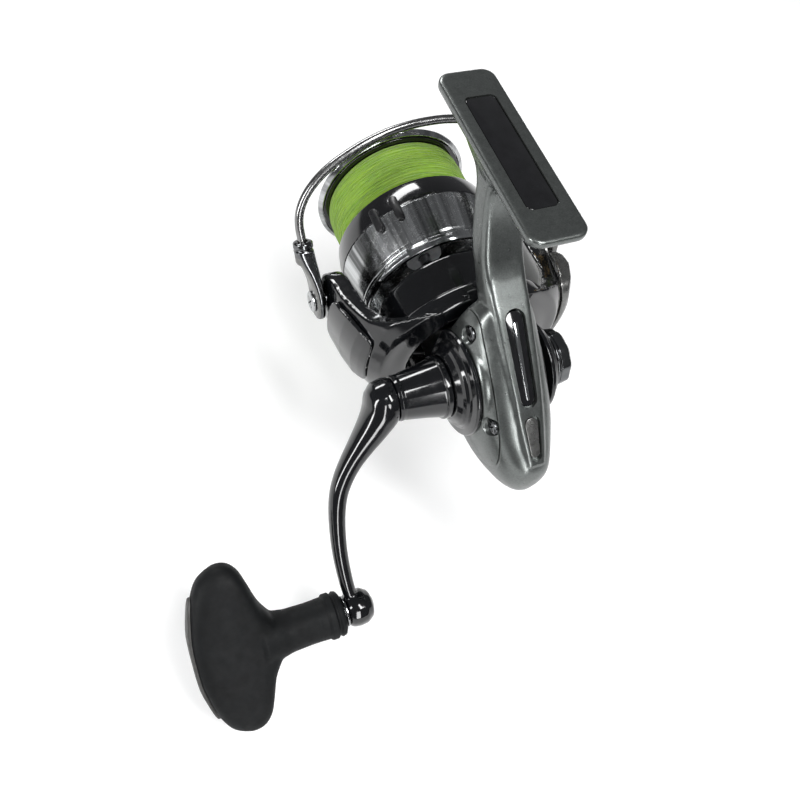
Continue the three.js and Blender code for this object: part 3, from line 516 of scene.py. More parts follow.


# base: colour; mottle: its relative variation; grain: scale of mottle and roughness patches;
# rough_var: roughness spread; bump: relief in metres; bump_scale: scale of its noise;
# brushed: stretch of the lines in X, Y, Z; streaks: painted reflection rays, whose dark and light
# are factors on base.
FINISHES = {
    "silver_paint": dict(
        base=(0.140, 0.152, 0.147), rough=0.31, metal=0.88, mottle=0.06, rough_var=0.04,
        flake=0.07, bump=3e-6, bump_scale=1800, coat=0.35, wear=(0.42, 0.42, 0.40),
        specks=dict(colour=(0.07, 0.05, 0.035), seam_y=COVER_Y, reach=2.0)),
    "gloss_black": dict(
        base=(0.0055, 0.006, 0.0072), rough=0.13, metal=0.25, mottle=0.25, rough_var=0.04,
        bump=4e-6, bump_scale=700, coat=0.9, wear=(0.12, 0.12, 0.12), wear_amount=0.35),
    "smoke_grey": dict(
        base=(0.17, 0.17, 0.165), rough=0.30, metal=0.85, mottle=0.12, flake=0.07,
        bump=5e-6, bump_scale=1500, coat=0.4, wear=(0.4, 0.4, 0.38), wear_amount=0.4),
    "polished_steel": dict(
        base=(0.56, 0.57, 0.58), rough=0.18, metal=1.0, mottle=0.06, rough_var=0.05,
        bump=4e-6, bump_scale=1200, brushed=(1, 30, 1)),
    "gunmetal": dict(
        base=(0.17, 0.175, 0.18), rough=0.16, metal=1.0, mottle=0.10, rough_var=0.05,
        bump=4e-6, bump_scale=900, wear=(0.5, 0.5, 0.5), wear_amount=0.5),
    "wire_satin": dict(
        base=(0.30, 0.30, 0.30), rough=0.24, metal=1.0, mottle=0.10, rough_var=0.06,
        bump=5e-6, bump_scale=1400),
    # Painted reflection rays around the shaft in the spool metal's colour.
    "spool_alloy": dict(
        base=(0.50, 0.51, 0.515), rough=0.20, metal=1.0, rough_var=0.04, bump=3e-6,
        bump_scale=900, brushed=(26, 1, 1), painted_reflection_streaks=dict(scale=5.0, dark=0.30, light=1.9)),
    # Painted reflection rays around the shaft in the chrome ring's colour.
    "chrome_ring": dict(
        base=(0.58, 0.59, 0.60), rough=0.10, metal=1.0, rough_var=0.03, bump=2e-6,
        bump_scale=800, painted_reflection_streaks=dict(scale=5.0, dark=0.60, light=1.35)),
    "band_black": dict(
        base=(0.008, 0.008, 0.0095), rough=0.12, metal=0.3, mottle=0.2, rough_var=0.04,
        bump=3e-6, bump_scale=900, coat=0.9),
    "brass": dict(
        base=(0.52, 0.36, 0.15), rough=0.26, metal=1.0, mottle=0.08, bump=5e-6,
        bump_scale=1200, brushed=(1, 20, 1)),
    "zinc": dict(
        base=(0.36, 0.37, 0.38), rough=0.42, metal=0.9, mottle=0.10, bump=1e-5,
        bump_scale=1500),
    "black_rubber": dict(
        base=(0.0035, 0.0042, 0.0048), rough=0.6, metal=0.0, mottle=0.35, grain=180,
        bump=1.8e-5, bump_scale=2600, spec=0.22),
    "line_green": dict(
        base=(0.20, 0.47, 0.006), rough=0.55, metal=0.0, mottle=0.18, grain=420, bump=9e-5,
        threads=dict(scale=897, distortion=1.2, detail_scale=2.0), sheen=0.25, spec=0.3),
    "felt": dict(
        base=(0.03, 0.03, 0.028), rough=0.95, metal=0.0, mottle=0.3, bump=6e-5,
        bump_scale=2400, sheen=0.3),
    "clip_black": dict(
        base=(0.012, 0.012, 0.013), rough=0.30, metal=0.0, mottle=0.2, bump=6e-6,
        bump_scale=1600),
    "insert_black": dict(
        base=(0.006, 0.006, 0.007), rough=0.09, metal=0.0, mottle=0.3, rough_var=0.03,
        bump=2e-6, bump_scale=600, coat=1.0),
    "end_plate_grey": dict(
        base=(0.038, 0.037, 0.035), rough=0.46, metal=0.1, mottle=0.12, bump=8e-6,
        bump_scale=1600),
}
MATERIALS = {name: surface(name, **row) for name, row in FINISHES.items()}


def finish(piece, body, slot, *nodes, look=None, second=None):
    """Paints a piece, moves it into place, hangs it under its body's empty and hides the CAD
    nodes it replaces.

    look is the material when it isn't the slot's; second is (material, test(center, normal))
    for the faces that differ.
    """
    piece.data.materials.clear()
    piece.data.materials.append(MATERIALS[look or slot])
    if second:
        material, test = second
        piece.data.materials.append(MATERIALS[material])
        for face in piece.data.polygons:
            if test(face.center / MM, face.normal):
                face.material_index = 1
    piece.data.transform(Matrix.Translation(SHIFT))
    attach(piece, body)
    if nodes:
        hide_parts(*nodes)


# ---------------------------------------------------------------- gearbox, stem and foot
# x, top z, bottom z, half width left (+Y), half width right (-Y), z where it is widest
SECTIONS = [
    (-32.3, 1.4, -3.2, 1.3, 1.2, -1.0), (-32.0, 3.0, -5.0, 2.6, 2.4, -1.0),
    (-31.2, 5.0, -8.2, 4.6, 4.2, -1.0), (-29.0, 7.3, -11.4, 6.6, 5.8, -0.5),
    (-25.2, 10.4, -14.8, 8.4, 7.4, 0.5), (-19.2, 16.0, -18.2, 10.4, 9.2, 2.5),
    (-13.2, 21.0, -20.2, 11.7, 10.3, 4.0), (-7.2, 25.6, -21.0, 12.4, 11.0, 5.5),
    (-1.2, 30.0, -21.0, 12.5, 11.0, 7.0), (4.3, 34.2, -20.2, 12.5, 11.0, 7.0),
    (8.5, 33.2, -18.8, 12.3, 10.9, 6.0), (10.8, 31.0, -17.8, 12.0, 10.8, 5.0)]
# front x, z, rear x, z, half width, squareness power
STEM = [
    (10.4, 22.5, -6.5, 25.0, 5.4, 0.55), (11.0, 26.2, -1.5, 29.2, 5.9, 0.46),
    (12.2, 29.8, 3.4, 33.2, 6.1, 0.40), (15.2, 33.6, 8.2, 37.2, 6.1, 0.36),
    (18.2, 36.6, 11.4, 40.0, 6.05, 0.34), (21.0, 39.9, 13.8, 42.8, 6.0, 0.33),
    (24.4, 45.2, 16.6, 47.8, 5.9, 0.33), (26.7, 51.3, 18.8, 53.0, 5.95, 0.34),
    (28.3, 56.8, 19.8, 57.6, 6.1, 0.36), (31.4, 60.4, 19.4, 61.0, 6.4, 0.40),
    (37.0, 62.3, 17.8, 62.6, 6.8, 0.45), (42.0, 63.8, 15.5, 64.2, 7.0, 0.50),
    (42.0, 65.0, 15.5, 65.4, 7.0, 0.50)]
# x, z, half width
BAND = [
    (15.5, 43.4, 5.2), (10.0, 38.6, 5.5), (5.4, 35.2, 5.6), (1.6, 32.5, 5.4),
    (-4.5, 27.9, 5.1), (-10.2, 23.6, 4.8), (-16.2, 18.9, 4.4), (-22.2, 13.5, 3.9),
    (-27.2, 9.1, 3.2), (-30.4, 6.1, 2.6)]
# x, z, y of the head
COVER_SCREWS = {"upper": (3.6, 25.2, 10.4), "rear": (-17.8, 11.0, 9.7)}


def gearbox(inset=0, rear=BOX_REAR, front=BOX_FRONT, stations=64, seg=88):
    rows = spline(SECTIONS, 400)
    rings = []
    for x in np.linspace(rear, front, stations):
        top, bottom, left, right, middle = [
            np.interp(x, rows[:, 0], rows[:, k]) for k in range(1, 6)]
        ring = []
        for cos, sin in oval(seg):
            power = 0.75 if sin > 0 else 1.18
            width = max(0.3, (left if cos > 0 else right) - inset)
            height = max(0.3, (top - inset - middle) if sin > 0 else (middle - bottom - inset))
            ring.append((x, signed_power(cos, power) * width,
                         middle + signed_power(sin, power) * height))
        rings.append(ring)
    return loft("gearbox_shell", rings)


def hollow():
    """Cutters for the inside: the shell offset inward and two round recesses on the left."""
    return (gearbox(2.0, -28.6, 8.6, 40, 56), cylinder("y", 4.0, 6.9, 9.4, (-13.5, -3.0)),
            cylinder("y", 4.4, 6.9, 9.4, HANDLE))


def stem():
    rings = []
    for front_x, front_z, rear_x, rear_z, width, power in spline(STEM, 70):
        x, z = (front_x + rear_x) / 2, (front_z + rear_z) / 2
        reach_x, reach_z = (front_x - rear_x) / 2, (front_z - rear_z) / 2
        rings.append([(x + reach_x * u, width * v, z + reach_z * u)
                      for u, v in oval(56, power, power)])
    return loft("stem", rings)


def foot():
    def outline(inset, corner_inset):
        return rounded_rectangle(FOOT_X, 57.0 - 2 * inset, 15.8 - 2 * inset,
                                 3.5 - corner_inset, 10)

    def underside(x):
        return np.interp(x, [-3, 6, 17, 34, 46, 55], [64.3, 62.9, 61.9, 61.9, 62.9, 64.3])

    rings = []
    # inset, z of the top rim and side
    for inset, z in ((0.75, 67.05), (0.35, 66.97), (0.1, 66.72), (0.0, 66.35), (0.0, 65.8)):
        rings.append([(x, y, z) for x, y in outline(inset, inset)])
    # inset, share of the way from the underside to the side at z 65.6
    for inset, share in ((0.15, 0.55), (0.7, 0.2), (2.2, 0.0)):
        rings.append([(x, y, underside(x) + share * (65.6 - underside(x)))
                      for x, y in outline(inset, min(inset, 2.0))])
    return loft("foot", rings)


def spine_band():
    """Flat raised band that runs from the stem down the back of the gearbox to its tail."""
    rings = []
    for x, z, w in spline(BAND, 48):
        top = z + 0.30 * min(1, max(0, (9.0 - x) / 8.0)) - 0.5 * max(0, (x - 9.0) / 6.5)
        half = [(w, 4.5), (w, 0.9), (w - 0.45, 0.1), (w - 1.2, -0.1)]
        rings.append([(x, -y, top - drop) for y, drop in half]
                     + [(x, y, top - drop) for y, drop in reversed(half)])
    return loft("band", rings)


def casting():
    """Solid skin that the body and the side cover are both cut from."""
    boss = lathe("boss", [(10.2, 0), (10.2, 18.6), (12.2, 18.6), (16.4, 13.6), (19, 12.6),
                          (25.5, 12.6), (25.5, 0)])
    keep(boss, box((0, 40), (-10.8, 11.1), (-40, 40)))
    dome = lathe("dome", [(8.45, 0), (8.45, 16.3, 0.1), (9.6, 16.25), (10.5, 15.9, 0.6),
                          (11.1, 15.2, 0.3), (11.1, 0)], "y", HANDLE)
    keep(dome, box((-40, 10.5), (0, 40), (-40, 40)))
    return melt("skin", [gearbox(), stem(), foot(), spine_band(), boss, dome], 0.42, 3)


def spine_strip(name, upper, lower, upper_r, lower_r, low, high, edge=0.0):
    """Tapered strip with round ends along the spine, between two (x, z) points.

    low and high are measured along the outward normal.
    """
    along = Vector((lower[0] - upper[0], 0, lower[1] - upper[1]))
    length = along.length
    along.normalize()
    outward = Vector((along.z, 0, -along.x))
    outline = []
    for center, radius, start in ((upper_r, upper_r, math.pi / 2),
                                  (length - lower_r, lower_r, -math.pi / 2)):
        for k in range(13):
            q = start + math.pi * k / 12
            outline.append((center + radius * math.cos(q), radius * math.sin(q)))
    strip = prism(name, outline, low, high, "xy", edge)
    for vertex in strip.data.vertices:
        distance, y, height = vertex.co / MM
        point = Vector((upper[0], 0, upper[1])) + along * distance + outward * height
        vertex.co = Vector((point.x, y, point.z)) * MM
    clean(strip.data)
    return strip


def reel_body(skin):
    body = add_object("reel_body", skin.data.copy())
    cut(body, box((-60, 10.6), (8.3, 40), (-60, 80)))
    cut(body, *hollow())
    fuse(body, cylinder("y", -11.0, -7.2, 8.2, HANDLE))
    # bores on the handle axis, then a stepped bore along the main shaft
    cut(body, cylinder("y", -14, -6.9, 6.3, HANDLE), cylinder("y", -6.1, -2.0, 15.1, HANDLE, 96),
        cylinder("x", 6, 15.1, 4.4), cylinder("x", 15, 19.4, 6.9), cylinder("x", 19.3, 27, 9.8))
    # recesses for the foot label, the gloss insert and the tail trim
    cut(body, prism("pocket", rounded_rectangle(FOOT_X, 37.7, 8.8, 1.7), 65.95, 69, "xy"))
    cut(body, spine_strip("slot", (3.4, 33.4), (-18.0, 17.0), 3.0, 2.5, -1.45, 6))
    cut(body, spine_strip("slot", (-19.4, 15.6), (-29.2, 6.9), 2.4, 1.8, -1.15, 6))
    shade(body, 50)
    finish(body, "gearbox", "silver_paint", "body_frame")


def side_cover(skin):
    cover = add_object("side_cover_shell", skin.data.copy())
    keep(cover, box((-60, 10.4), (COVER_Y, 40), (-60, 80)))
    cut(cover, *hollow())
    for x, z, _ in COVER_SCREWS.values():
        boss = cylinder("y", COVER_Y, 12, 3.4, (x, z), 48)
        keep(boss, gearbox(0.02))
        fuse(cover, boss)
    cut(cover, cylinder("y", 5, 14, 6.3, HANDLE))
    for x, z, y in COVER_SCREWS.values():
        well = [(y - 1.2, 0), (y - 1.2, 2.5, 0.3), (y - 0.2, 2.5, 0.1), (y + 0.5, 2.9, 0.2),
                (y + 4, 3.4, 0), (y + 4, 0)]
        cut(cover, lathe("well", well, "y", (x, z), 64), cylinder("y", 4, 14, 1.3, (x, z), 32))
    shade(cover, 50)
    finish(cover, "gearbox", "silver_paint", "side_cover")


def screw(name, at, head_y, head_r, tip_y, shank_r):
    """Cross-head screw along Y."""
    sign = math.copysign(1, head_y - tip_y)
    piece = lathe(name, [
        (tip_y, 0), (tip_y, shank_r, 0.15), (head_y - sign * 0.85, shank_r, 0.05),
        (head_y - sign * 0.8, head_r, 0.1), (head_y - sign * 0.25, head_r, 0.15),
        (head_y, head_r - 0.5, 0.2), (head_y, 0)], "y", at, 48)
    width, length = 0.24, head_r * 0.62
    for turn in (0, math.pi / 2):
        cos, sin = math.cos(turn + 0.5), math.sin(turn + 0.5)
        corners = ((-length, -width), (length, -width), (length, width), (-length, width))
        outline = [(at[0] + cos * u - sin * v, at[1] + sin * u + cos * v) for u, v in corners]
        cut(piece, prism("cross", outline, *sorted((head_y - sign * 0.55, head_y + sign))))
    shade(piece, 35)
    return piece


def handle_collar(side, ys, profile):
    """Ring around the handle axis, cut flat at the front; ys is the side of the reel it keeps."""
    collar = lathe("handle_collar_" + side, profile, "y", HANDLE, 144)
    keep(collar, box((-20, 12.2), ys, (-20, 40)))
    shade(collar, 40)
    finish(collar, "gearbox", "gloss_black", side + "_collar")


skin = casting()
reel_body(skin)
side_cover(skin)
bpy.data.objects.remove(skin)

# gloss insert with a bright bar, the tail trim and the label in the foot
finish(spine_strip("spine_insert_gloss", (2.9, 33.0), (-17.6, 17.3), 2.7, 2.2, -1.1, -0.15, 0.22),
       "gearbox", "insert_black", "spine_insert")
finish(spine_strip("spine_insert_bar", (0.6, 31.3), (-16.4, 18.3), 0.75, 0.55, -0.35, 0.22, 0.28),
       "gearbox", "polished_steel", look="chrome_ring")
finish(spine_strip("tail_trim_bar", (-20.0, 15.1), (-28.5, 7.6), 2.0, 1.5, -0.8, 0.15, 0.3),
       "gearbox", "smoke_grey", "tail_trim")
finish(prism("foot_label_inlay", rounded_rectangle(FOOT_X, 37.1, 8.2, 1.4), 66.2, 66.86, "xy",
             0.16), "gearbox", "insert_black", "foot_label_plate")

for place, (x, z, y) in COVER_SCREWS.items():
    finish(screw("screw_" + place, (x, z), head_y=y, head_r=2.15, tip_y=2.0, shank_r=1.05),
           "gearbox", "polished_steel", "cover_screw_" + place, look="gunmetal")

handle_collar("left", (0, 40), [
    (11.4, 4.7), (11.4, 15.4, 0.3), (12.1, 15.45, 0.1), (12.75, 15.2, 0.35), (13.1, 13.2, 0.3),
    (13.5, 12.5, 0.3), (14.3, 12.0, 0.2), (14.8, 11.0, 0.3), (15.9, 9.7, 0.3),
    (16.05, 9.2, 0.1), (16.05, 4.7)])
handle_collar("right", (-40, 0), [
    (-11.3, 4.7), (-11.3, 14.0, 0.3), (-12.5, 14.0, 0.35), (-13.2, 12.4, 0.3),
    (-14.6, 11.6, 0.4), (-15.3, 10.0, 0.3), (-16.0, 9.2, 0.25), (-16.0, 4.7)])

# ---------------------------------------------------------------- handle
# distance from the handle axis, y, half width, half height
ARM = [
    (-4.6, 33.0, 4.2, 3.6), (-2, 33.4, 6.0, 5.2), (2.0, 34.6, 6.3, 5.3), (6.0, 37.6, 5.3, 4.5),
    (10.5, 41.8, 4.2, 3.6), (14.6, 45.5, 3.5, 3.0), (19, 48.6, 3.05, 2.75),
    (24, 50.9, 2.7, 2.55), (31, 52.4, 2.5, 2.35), (40.6, 53.2, 2.3, 2.2),
    (50, 53.0, 2.15, 2.05), (56.4, 52.3, 2.05, 1.95), (60.4, 51.6, 2.0, 1.9)]
# y, half length, half thickness of the T-shaped grip
GRIP = [
    (74.6, 5.2, 5.0), (76.2, 7.6, 6.0), (78.4, 11.6, 6.4), (80.2, 17.6, 6.6),
    (81.8, 22.2, 6.7), (84.2, 25.0, 6.8), (87.4, 25.8, 6.8), (90.8, 24.6, 6.7),
    (93.6, 22.4, 6.4), (96.0, 17.8, 6.0), (97.6, 12.4, 5.2), (98.5, 8.0, 4.2),
    (98.75, 4.0, 2.4)]


def handle_cap():
    """Cap on the right end of the handle axis, with shallow flutes around its outer part."""
    def fluted(y, radius, angle):
        if radius > 5.0 and y < -17.8:
            return radius * (1 - 0.04 * abs(math.sin(5 * angle)) ** 2)
        return radius

    cap = lathe("handle_cap", [
        (-16.3, 0), (-16.3, 7.9, 0.2), (-16.9, 8.5, 0.3), (-17.5, 8.5, 0.1), (-17.8, 8.2, 0.1),
        (-18.1, 8.5, 0.2), (-20.9, 8.25, 0.4), (-21.7, 7.2, 0.4), (-22.0, 5.8, 0.3),
        (-21.8, 4.6, 0.2), (-21.8, 0)], "y", HANDLE, 168, shape=fluted)
    fuse(cap, cylinder("y", -16.6, -11.8, 4.0, HANDLE))
    shade(cap, 30)
    finish(cap, "drive", "gunmetal", "handle_hole_cap")


def handle_shank():
    shank = lathe("handle_shank_turned", [
        (16.25, 0), (16.25, 8.6, 0.2), (16.7, 9.1, 0.3), (18.0, 9.1, 0.3), (18.3, 8.5, 0.2),
        (18.8, 8.4, 0.2), (22.5, 7.6, 1), (29.2, 6.5, 0.5), (30.2, 6.6, 0.3), (31.0, 6.3, 0.2),
        (31.0, 0)], "y", HANDLE)
    fuse(shank, cylinder("y", 5.0, 16.6, 1.85, HANDLE))
    shade(shank, 35)
    finish(shank, "drive", "gloss_black", "handle_shank")


def handle_arm():
    out = np.array([math.cos(CRANK_ANGLE), 0, math.sin(CRANK_ANGLE)])
    side = np.array([-math.sin(CRANK_ANGLE), 0, math.cos(CRANK_ANGLE)])
    rows = spline(ARM, 110)
    tangents = np.gradient(rows[:, :2], axis=0)
    tangents /= np.linalg.norm(tangents, axis=1)[:, None]
    rings = []
    for (reach, y, width, height), (slope_out, slope_y) in zip(rows, tangents):
        center = np.array([out[0] * reach, y, HANDLE_Z + out[2] * reach])
        normal = np.array([-out[0] * slope_y, slope_out, -out[2] * slope_y])
        rings.append([tuple(center + side * width * u + normal * height * v)
                      for u, v in oval(32, 0.85, 0.85)])
    ball = lathe("ball", [
        (46.3, 0), (46.35, 1.6, 0.8), (47.2, 3.9, 1.2), (49.2, 5.25, 1.4), (51.4, 5.5, 1.2),
        (53.3, 5.2, 1.0), (54.35, 4.6, 0.35), (54.5, 4.0, 0.1), (54.5, 0)], "y", KNOB, 72)
    hub = lathe("hub", [(31.3, 0), (31.3, 6.3, 0.3), (33.5, 6.5, 0.4), (36.5, 5.8, 1.2),
                        (38.2, 3.8, 1.4), (38.6, 0)], "y", HANDLE, 64)
    arm = melt("handle_arm_forged", [loft("arm", rings), ball, hub], 0.3, 6)
    cut(arm, cylinder("y", 20, 31.3, 14, HANDLE))
    cut(arm, cylinder("y", 48.0, 57, 1.5, KNOB, 40))
    shade(arm, 50)
    finish(arm, "drive", "gloss_black", "handle_arm")


def knob_point(along, y, across):
    cos, sin = math.cos(KNOB_TURN), math.sin(KNOB_TURN)
    return (KNOB_X + cos * along - sin * across, y, KNOB_Z + sin * along + cos * across)


def grip(rise=0.0):
    """T-shaped grip without its neck, moved along Y by rise."""
    rings = [[knob_point(u * length, y, v * thickness) for u, v in oval(64, 0.72, 0.72)]
             for y, length, thickness in spline(GRIP, 60)]
    piece = loft("grip", rings)
    piece.data.transform(Matrix.Translation((0, rise * MM, 0)))
    return piece


def handle_knob():
    neck = lathe("neck", [(58, 0), (58, 6.2), (62, 6.1, 1), (66, 6.0, 1), (72, 6.2, 1),
                          (77, 7.2, 1), (80, 8.0), (80, 0)], "y", KNOB, 96)
    knob = melt("knob_grip", [grip(), neck], 0.5, 7)
    fuse(knob, lathe("collar", [
        (55.75, 0), (55.75, 5.2, 0.4), (56.4, 6.4, 0.3), (57.4, 6.65, 0.3), (57.8, 6.2, 0.2),
        (58.3, 6.2, 0.2), (58.7, 6.75, 0.3), (60.4, 6.75, 0.4), (61.0, 6.15, 0.3),
        (63.0, 6.1, 0.2), (63.0, 0)], "y", KNOB, 96))
    cut(knob, cylinder("y", 50, 95, 3.7, KNOB, 64))
    shade(knob, 40)
    finish(knob, "knob", "black_rubber", "handle_knob")


def knob_badge():
    """Thin oval plate that follows the outer face of the grip."""
    points = [knob_point(19 * u, 0, 4.3 * v) for u, v in oval(96)]
    badge = prism("badge", [(x, z) for x, _, z in points], 88, 104)
    keep(badge, grip(0.75))
    cut(badge, grip(0.05))
    modify(badge, "BEVEL", width=0.18 * MM, segments=2, limit_method="ANGLE",
           angle_limit=math.radians(50))
    shade(badge, 30)
    finish(badge, "knob", "end_plate_grey", "knob_end_plate")


handle_cap()
handle_shank()
handle_arm()
finish(lathe("knob_spindle", [(48.8, 0), (48.8, 1.35, 0.2), (93, 1.25, 0.3), (93, 0)],
             "y", KNOB, 40), "drive", "polished_steel", "knob_shaft")
finish(lathe("knob_thrust_washer", [(54.7, 1.6), (54.7, 4.5, 0.12), (55.3, 4.5, 0.12),
                                    (55.3, 1.6)], "y", KNOB, 56),
       "drive", "polished_steel", "knob_washer", look="chrome_ring")
handle_knob()
knob_badge()

# ---------------------------------------------------------------- rotor
# x, radius of the ring that both arms are cut from
ARM_RING = [
    (13.2, 22.6), (13.2, 28.6), (16.4, 31.6), (22, 33.7), (34, 35.9), (46.4, 36.3), (48, 34.0),
    (46.4, 30.8), (28, 30.4), (20.8, 28), (17.4, 22.6)]
# x, z of the upper half of an arm, seen from the side
ARM_HALF = [(11, 24.5), (14.2, 22.0), (17.2, 18.0), (22, 14.0), (28, 11.8), (36, 10.0),
            (43.0, 8.6), (47.2, 5.4), (48.6, 0)]
# shields: x, radius of the turned plate, then x, z of the outline
PLATE_LEFT = [
    (16.1, 31.75), (18.5, 32.75), (22, 34.1), (34, 36.25), (35.2, 36.5), (35.2, 37.5),
    (27, 36.4), (21.2, 35.0), (18.5, 33.7), (16.1, 32.3)]
OUTLINE_LEFT = [
    (16.4, -7.4), (16.4, 7.4), (19.5, 10.2), (25, 10.2), (31, 9.0), (35.0, 7.0), (35.0, -7.0),
    (31, -9.0), (25, -10.2), (19.5, -10.2)]
PLATE_RIGHT = [
    (15.6, 31.4), (16.6, 32.1), (22, 34.1), (34, 36.25), (35.2, 36.5), (35.2, 38.2),
    (31, 39.4), (26, 39.0), (20.5, 37.0), (16.6, 34.4), (15.6, 32.9)]
OUTLINE_RIGHT = [
    (15.7, 4), (16.2, 10.5), (18.5, 14.6), (23.5, 14.9), (30, 12.4), (34.8, 8.6), (35.3, 0),
    (34.8, -8.6), (30, -12.8), (25, -16.3), (20, -16.0), (16.6, -11.5), (15.6, -4)]


def rotor():
    upper = [tuple(p) for p in spline(ARM_HALF, 40)]
    outline = upper + [(x, -z) for x, z in reversed(upper[:-1])]
    pieces = []
    for side in (1, -1):
        arm = lathe("arm", [p + (0.5,) for p in ARM_RING], seg=220)
        keep(arm, prism("side", outline, *sorted((side * 12, side * 44))))
        cut(arm, prism("window", rounded_rectangle(20.8, 8.2, 11, 2.4),
                       *sorted((side * 10, side * 44))))
        if side < 0:
            cut(arm, box((23, 38.2), (-44, -32.6), (-6.4, 6.4)))
        pieces.append(arm)
    pieces.append(lathe("cup", [
        (13.2, 20.4), (13.2, 22.4), (32.2, 22.4), (33, 21.9), (33, 20.4), (30.4, 20.4),
        (30.2, 9), (30.2, 4.3), (27.4, 4.3), (27.4, 14), (26, 20.4)], seg=180))
    pieces.append(lathe("rim", [
        (12.8, 20.2), (12.8, 22.2), (13.4, 26.2), (15.2, 27.4), (18.2, 27.4), (19.0, 26.6),
        (19.0, 25.4), (17.6, 22.0), (15, 20.6)], seg=180))
    casting = melt("rotor_casting", pieces, 0.46, 12)
    cut(casting, cylinder("y", -45, 45, PIVOT_HOLE_R, PIVOT, 40))
    shade(casting, 50)
    finish(casting, "rotor", "gloss_black", "rotor")


def arm_shield(side, slot, plate, corner, outline, count, ys, voxel, smooth):
    shield = lathe("shield", [p + (corner,) for p in plate], seg=260)
    keep(shield, prism("outline", spline(outline, count, closed=True), *ys))
    shield = melt("arm_shield_" + side, [shield], voxel, smooth)
    finish(shield, "rotor", slot, "arm_cover_" + side)


rotor()
arm_shield("left", "gloss_black", PLATE_LEFT, corner=0.25, outline=OUTLINE_LEFT, count=96,
           ys=(20, 45), voxel=0.22, smooth=4)
arm_shield("right", "smoke_grey", PLATE_RIGHT, corner=0.3, outline=OUTLINE_RIGHT, count=120,
           ys=(-45, -20), voxel=0.28, smooth=6)

# ---------------------------------------------------------------- bail
# distance along the tilted bail, y, distance across the tilt
WIRE = [
    (16, 40.6, 0), (20, 40.8, 0), (24, 41.0, 0), (28, 40.3, 0), (32, 38.2, 0), (35.5, 35, 0),
    (38.5, 31, 0), (41.3, 25.6, 0), (43.8, 19.5, 0), (45.7, 13, 0), (46.8, 6.5, 0),
    (47.2, 0, 0), (47.0, -6, 0), (46.1, -12, 0.2), (44.6, -18, 0.8), (42.4, -23.2, 1.9),
    (39.6, -27.2, 3.4), (35.6, -29.9, 5.2), (30.6, -31.0, 6.9), (26, -31.0, 8.2),
    (22.4, -30.9, 9.2), (18.2, -30.9, 9.9)]
# distance along the tilted bail, y, half thickness, half width
HOLDER = [
    (-5.5, 38.1, 0.9, 1.4), (-5.0, 38.1, 1.2, 2.9), (-3.4, 38.1, 1.38, 4.5),
    (0, 38.13, 1.43, 5.4), (3.2, 38.2, 1.48, 5.2), (6.5, 38.5, 1.7, 4.4),
    (9.8, 39.1, 2.1, 3.7), (12.8, 39.9, 2.5, 3.15), (15.2, 40.4, 2.75, 2.9),
    (16.6, 40.6, 2.8, 2.8)]


def bail_point(along, y, across):
    cos, sin = math.cos(BAIL_TILT), math.sin(BAIL_TILT)
    return (BAIL_X + along * cos - across * sin, y, along * sin + across * cos)


def along_bail(piece):
    """Moves a piece turned about X onto the tilted start of the wire."""
    piece.data.transform(Matrix.Translation(Vector((BAIL_X, 40.6, 0)) * MM)
                         @ Matrix.Rotation(-BAIL_TILT, 4, "Y"))
    return piece


def bail_wire():
    path = spline([bail_point(*p) for p in WIRE], 190)
    # the wire doubles in thickness over its last 30 stations, at the roller
    radii = [1.25 + 1.25 * max(0, min(1, (i - 160) / 29)) ** 1.3 for i in range(190)]
    wire = tube("bail_wire_tube", path, radii, 28)
    fuse(wire, lathe("end", [(-33.8, 0), (-33.8, 2.7, 0.2), (-32.6, 2.9, 0.3),
                             (-30.6, 2.6, 0.5), (-29.2, 1.8, 0.6), (-28.9, 0)], "y", ROLLER, 64))
    cut(wire, cylinder("y", -36, -31.6, ROLLER_HOLE_R, ROLLER, 32))
    shade(wire, 60)
    finish(wire, "bail", "gunmetal", "bail_wire", look="wire_satin")


def bail_holder():
    rings = [[bail_point(along, y + v * thick, u * width) for u, v in oval(40, 0.62, 0.7)]
             for along, y, thick, width in spline(HOLDER, 60)]
    socket = along_bail(lathe("socket", [
        (12.2, 0), (12.2, 2.2, 0.6), (13.2, 2.7, 0.4), (16.2, 2.8, 0.2), (16.7, 2.5, 0.15),
        (17.1, 2.5, 0.15), (17.4, 2.95, 0.3), (18.9, 2.9, 0.35), (19.2, 2.2, 0.2),
        (19.2, 0)], seg=64))
    holder = melt("bail_holder_cast", [loft("plate", rings), socket], 0.2, 3)
    cut(holder, cylinder("y", 39.56, 45, 3.5, PIVOT, 48))
    cut(holder, along_bail(cylinder("x", 15.4, 22, 1.55, seg=40)))
    cut(holder, cylinder("y", 30, 45, PIVOT_HOLE_R, PIVOT, 40))
    shade(holder, 50)
    finish(holder, "bail", "gunmetal", "bail_holder", second=(
        "smoke_grey", lambda c, n: n.y > 0.62 and math.hypot(c.x - BAIL_X, c.z) < 15.0))


def bail_arm():
    """Lever on the right that carries the line roller straight above the pivot."""
    def arc(center, radius, start, end, steps):
        angles = [math.radians(start + (end - start) * i / steps) for i in range(steps + 1)]
        return [(center + radius * math.cos(a), radius * math.sin(a)) for a in angles]

    outline = (arc(0, 6.6, 60, 300, 28) + [(8, -4.6), (13, -3.6)]
               + arc(ROLLER_REACH, 3.6, -80, 80, 16) + [(13, 3.6), (8, 4.6)])
    outline = [(BAIL_X - across, along) for along, across in outline]
    plate = prism("plate", outline, -40.9, -38.6, edge=0.45)
    hub = lathe("hub", [(-38.8, 0), (-38.8, 6.2), (-37.0, 6.0, 0.3), (-37.0, 0)], "y", PIVOT, 72)
    lever = melt("bail_arm_cast", [plate, hub], 0.24, 4)
    cut(lever, cylinder("y", -45, -30, PIVOT_HOLE_R, PIVOT, 40))
    cut(lever, cylinder("y", -45, -30, ROLLER_HOLE_R, ROLLER, 32))
    shade(lever, 50)
    finish(lever, "bail", "smoke_grey", "bail_arm")


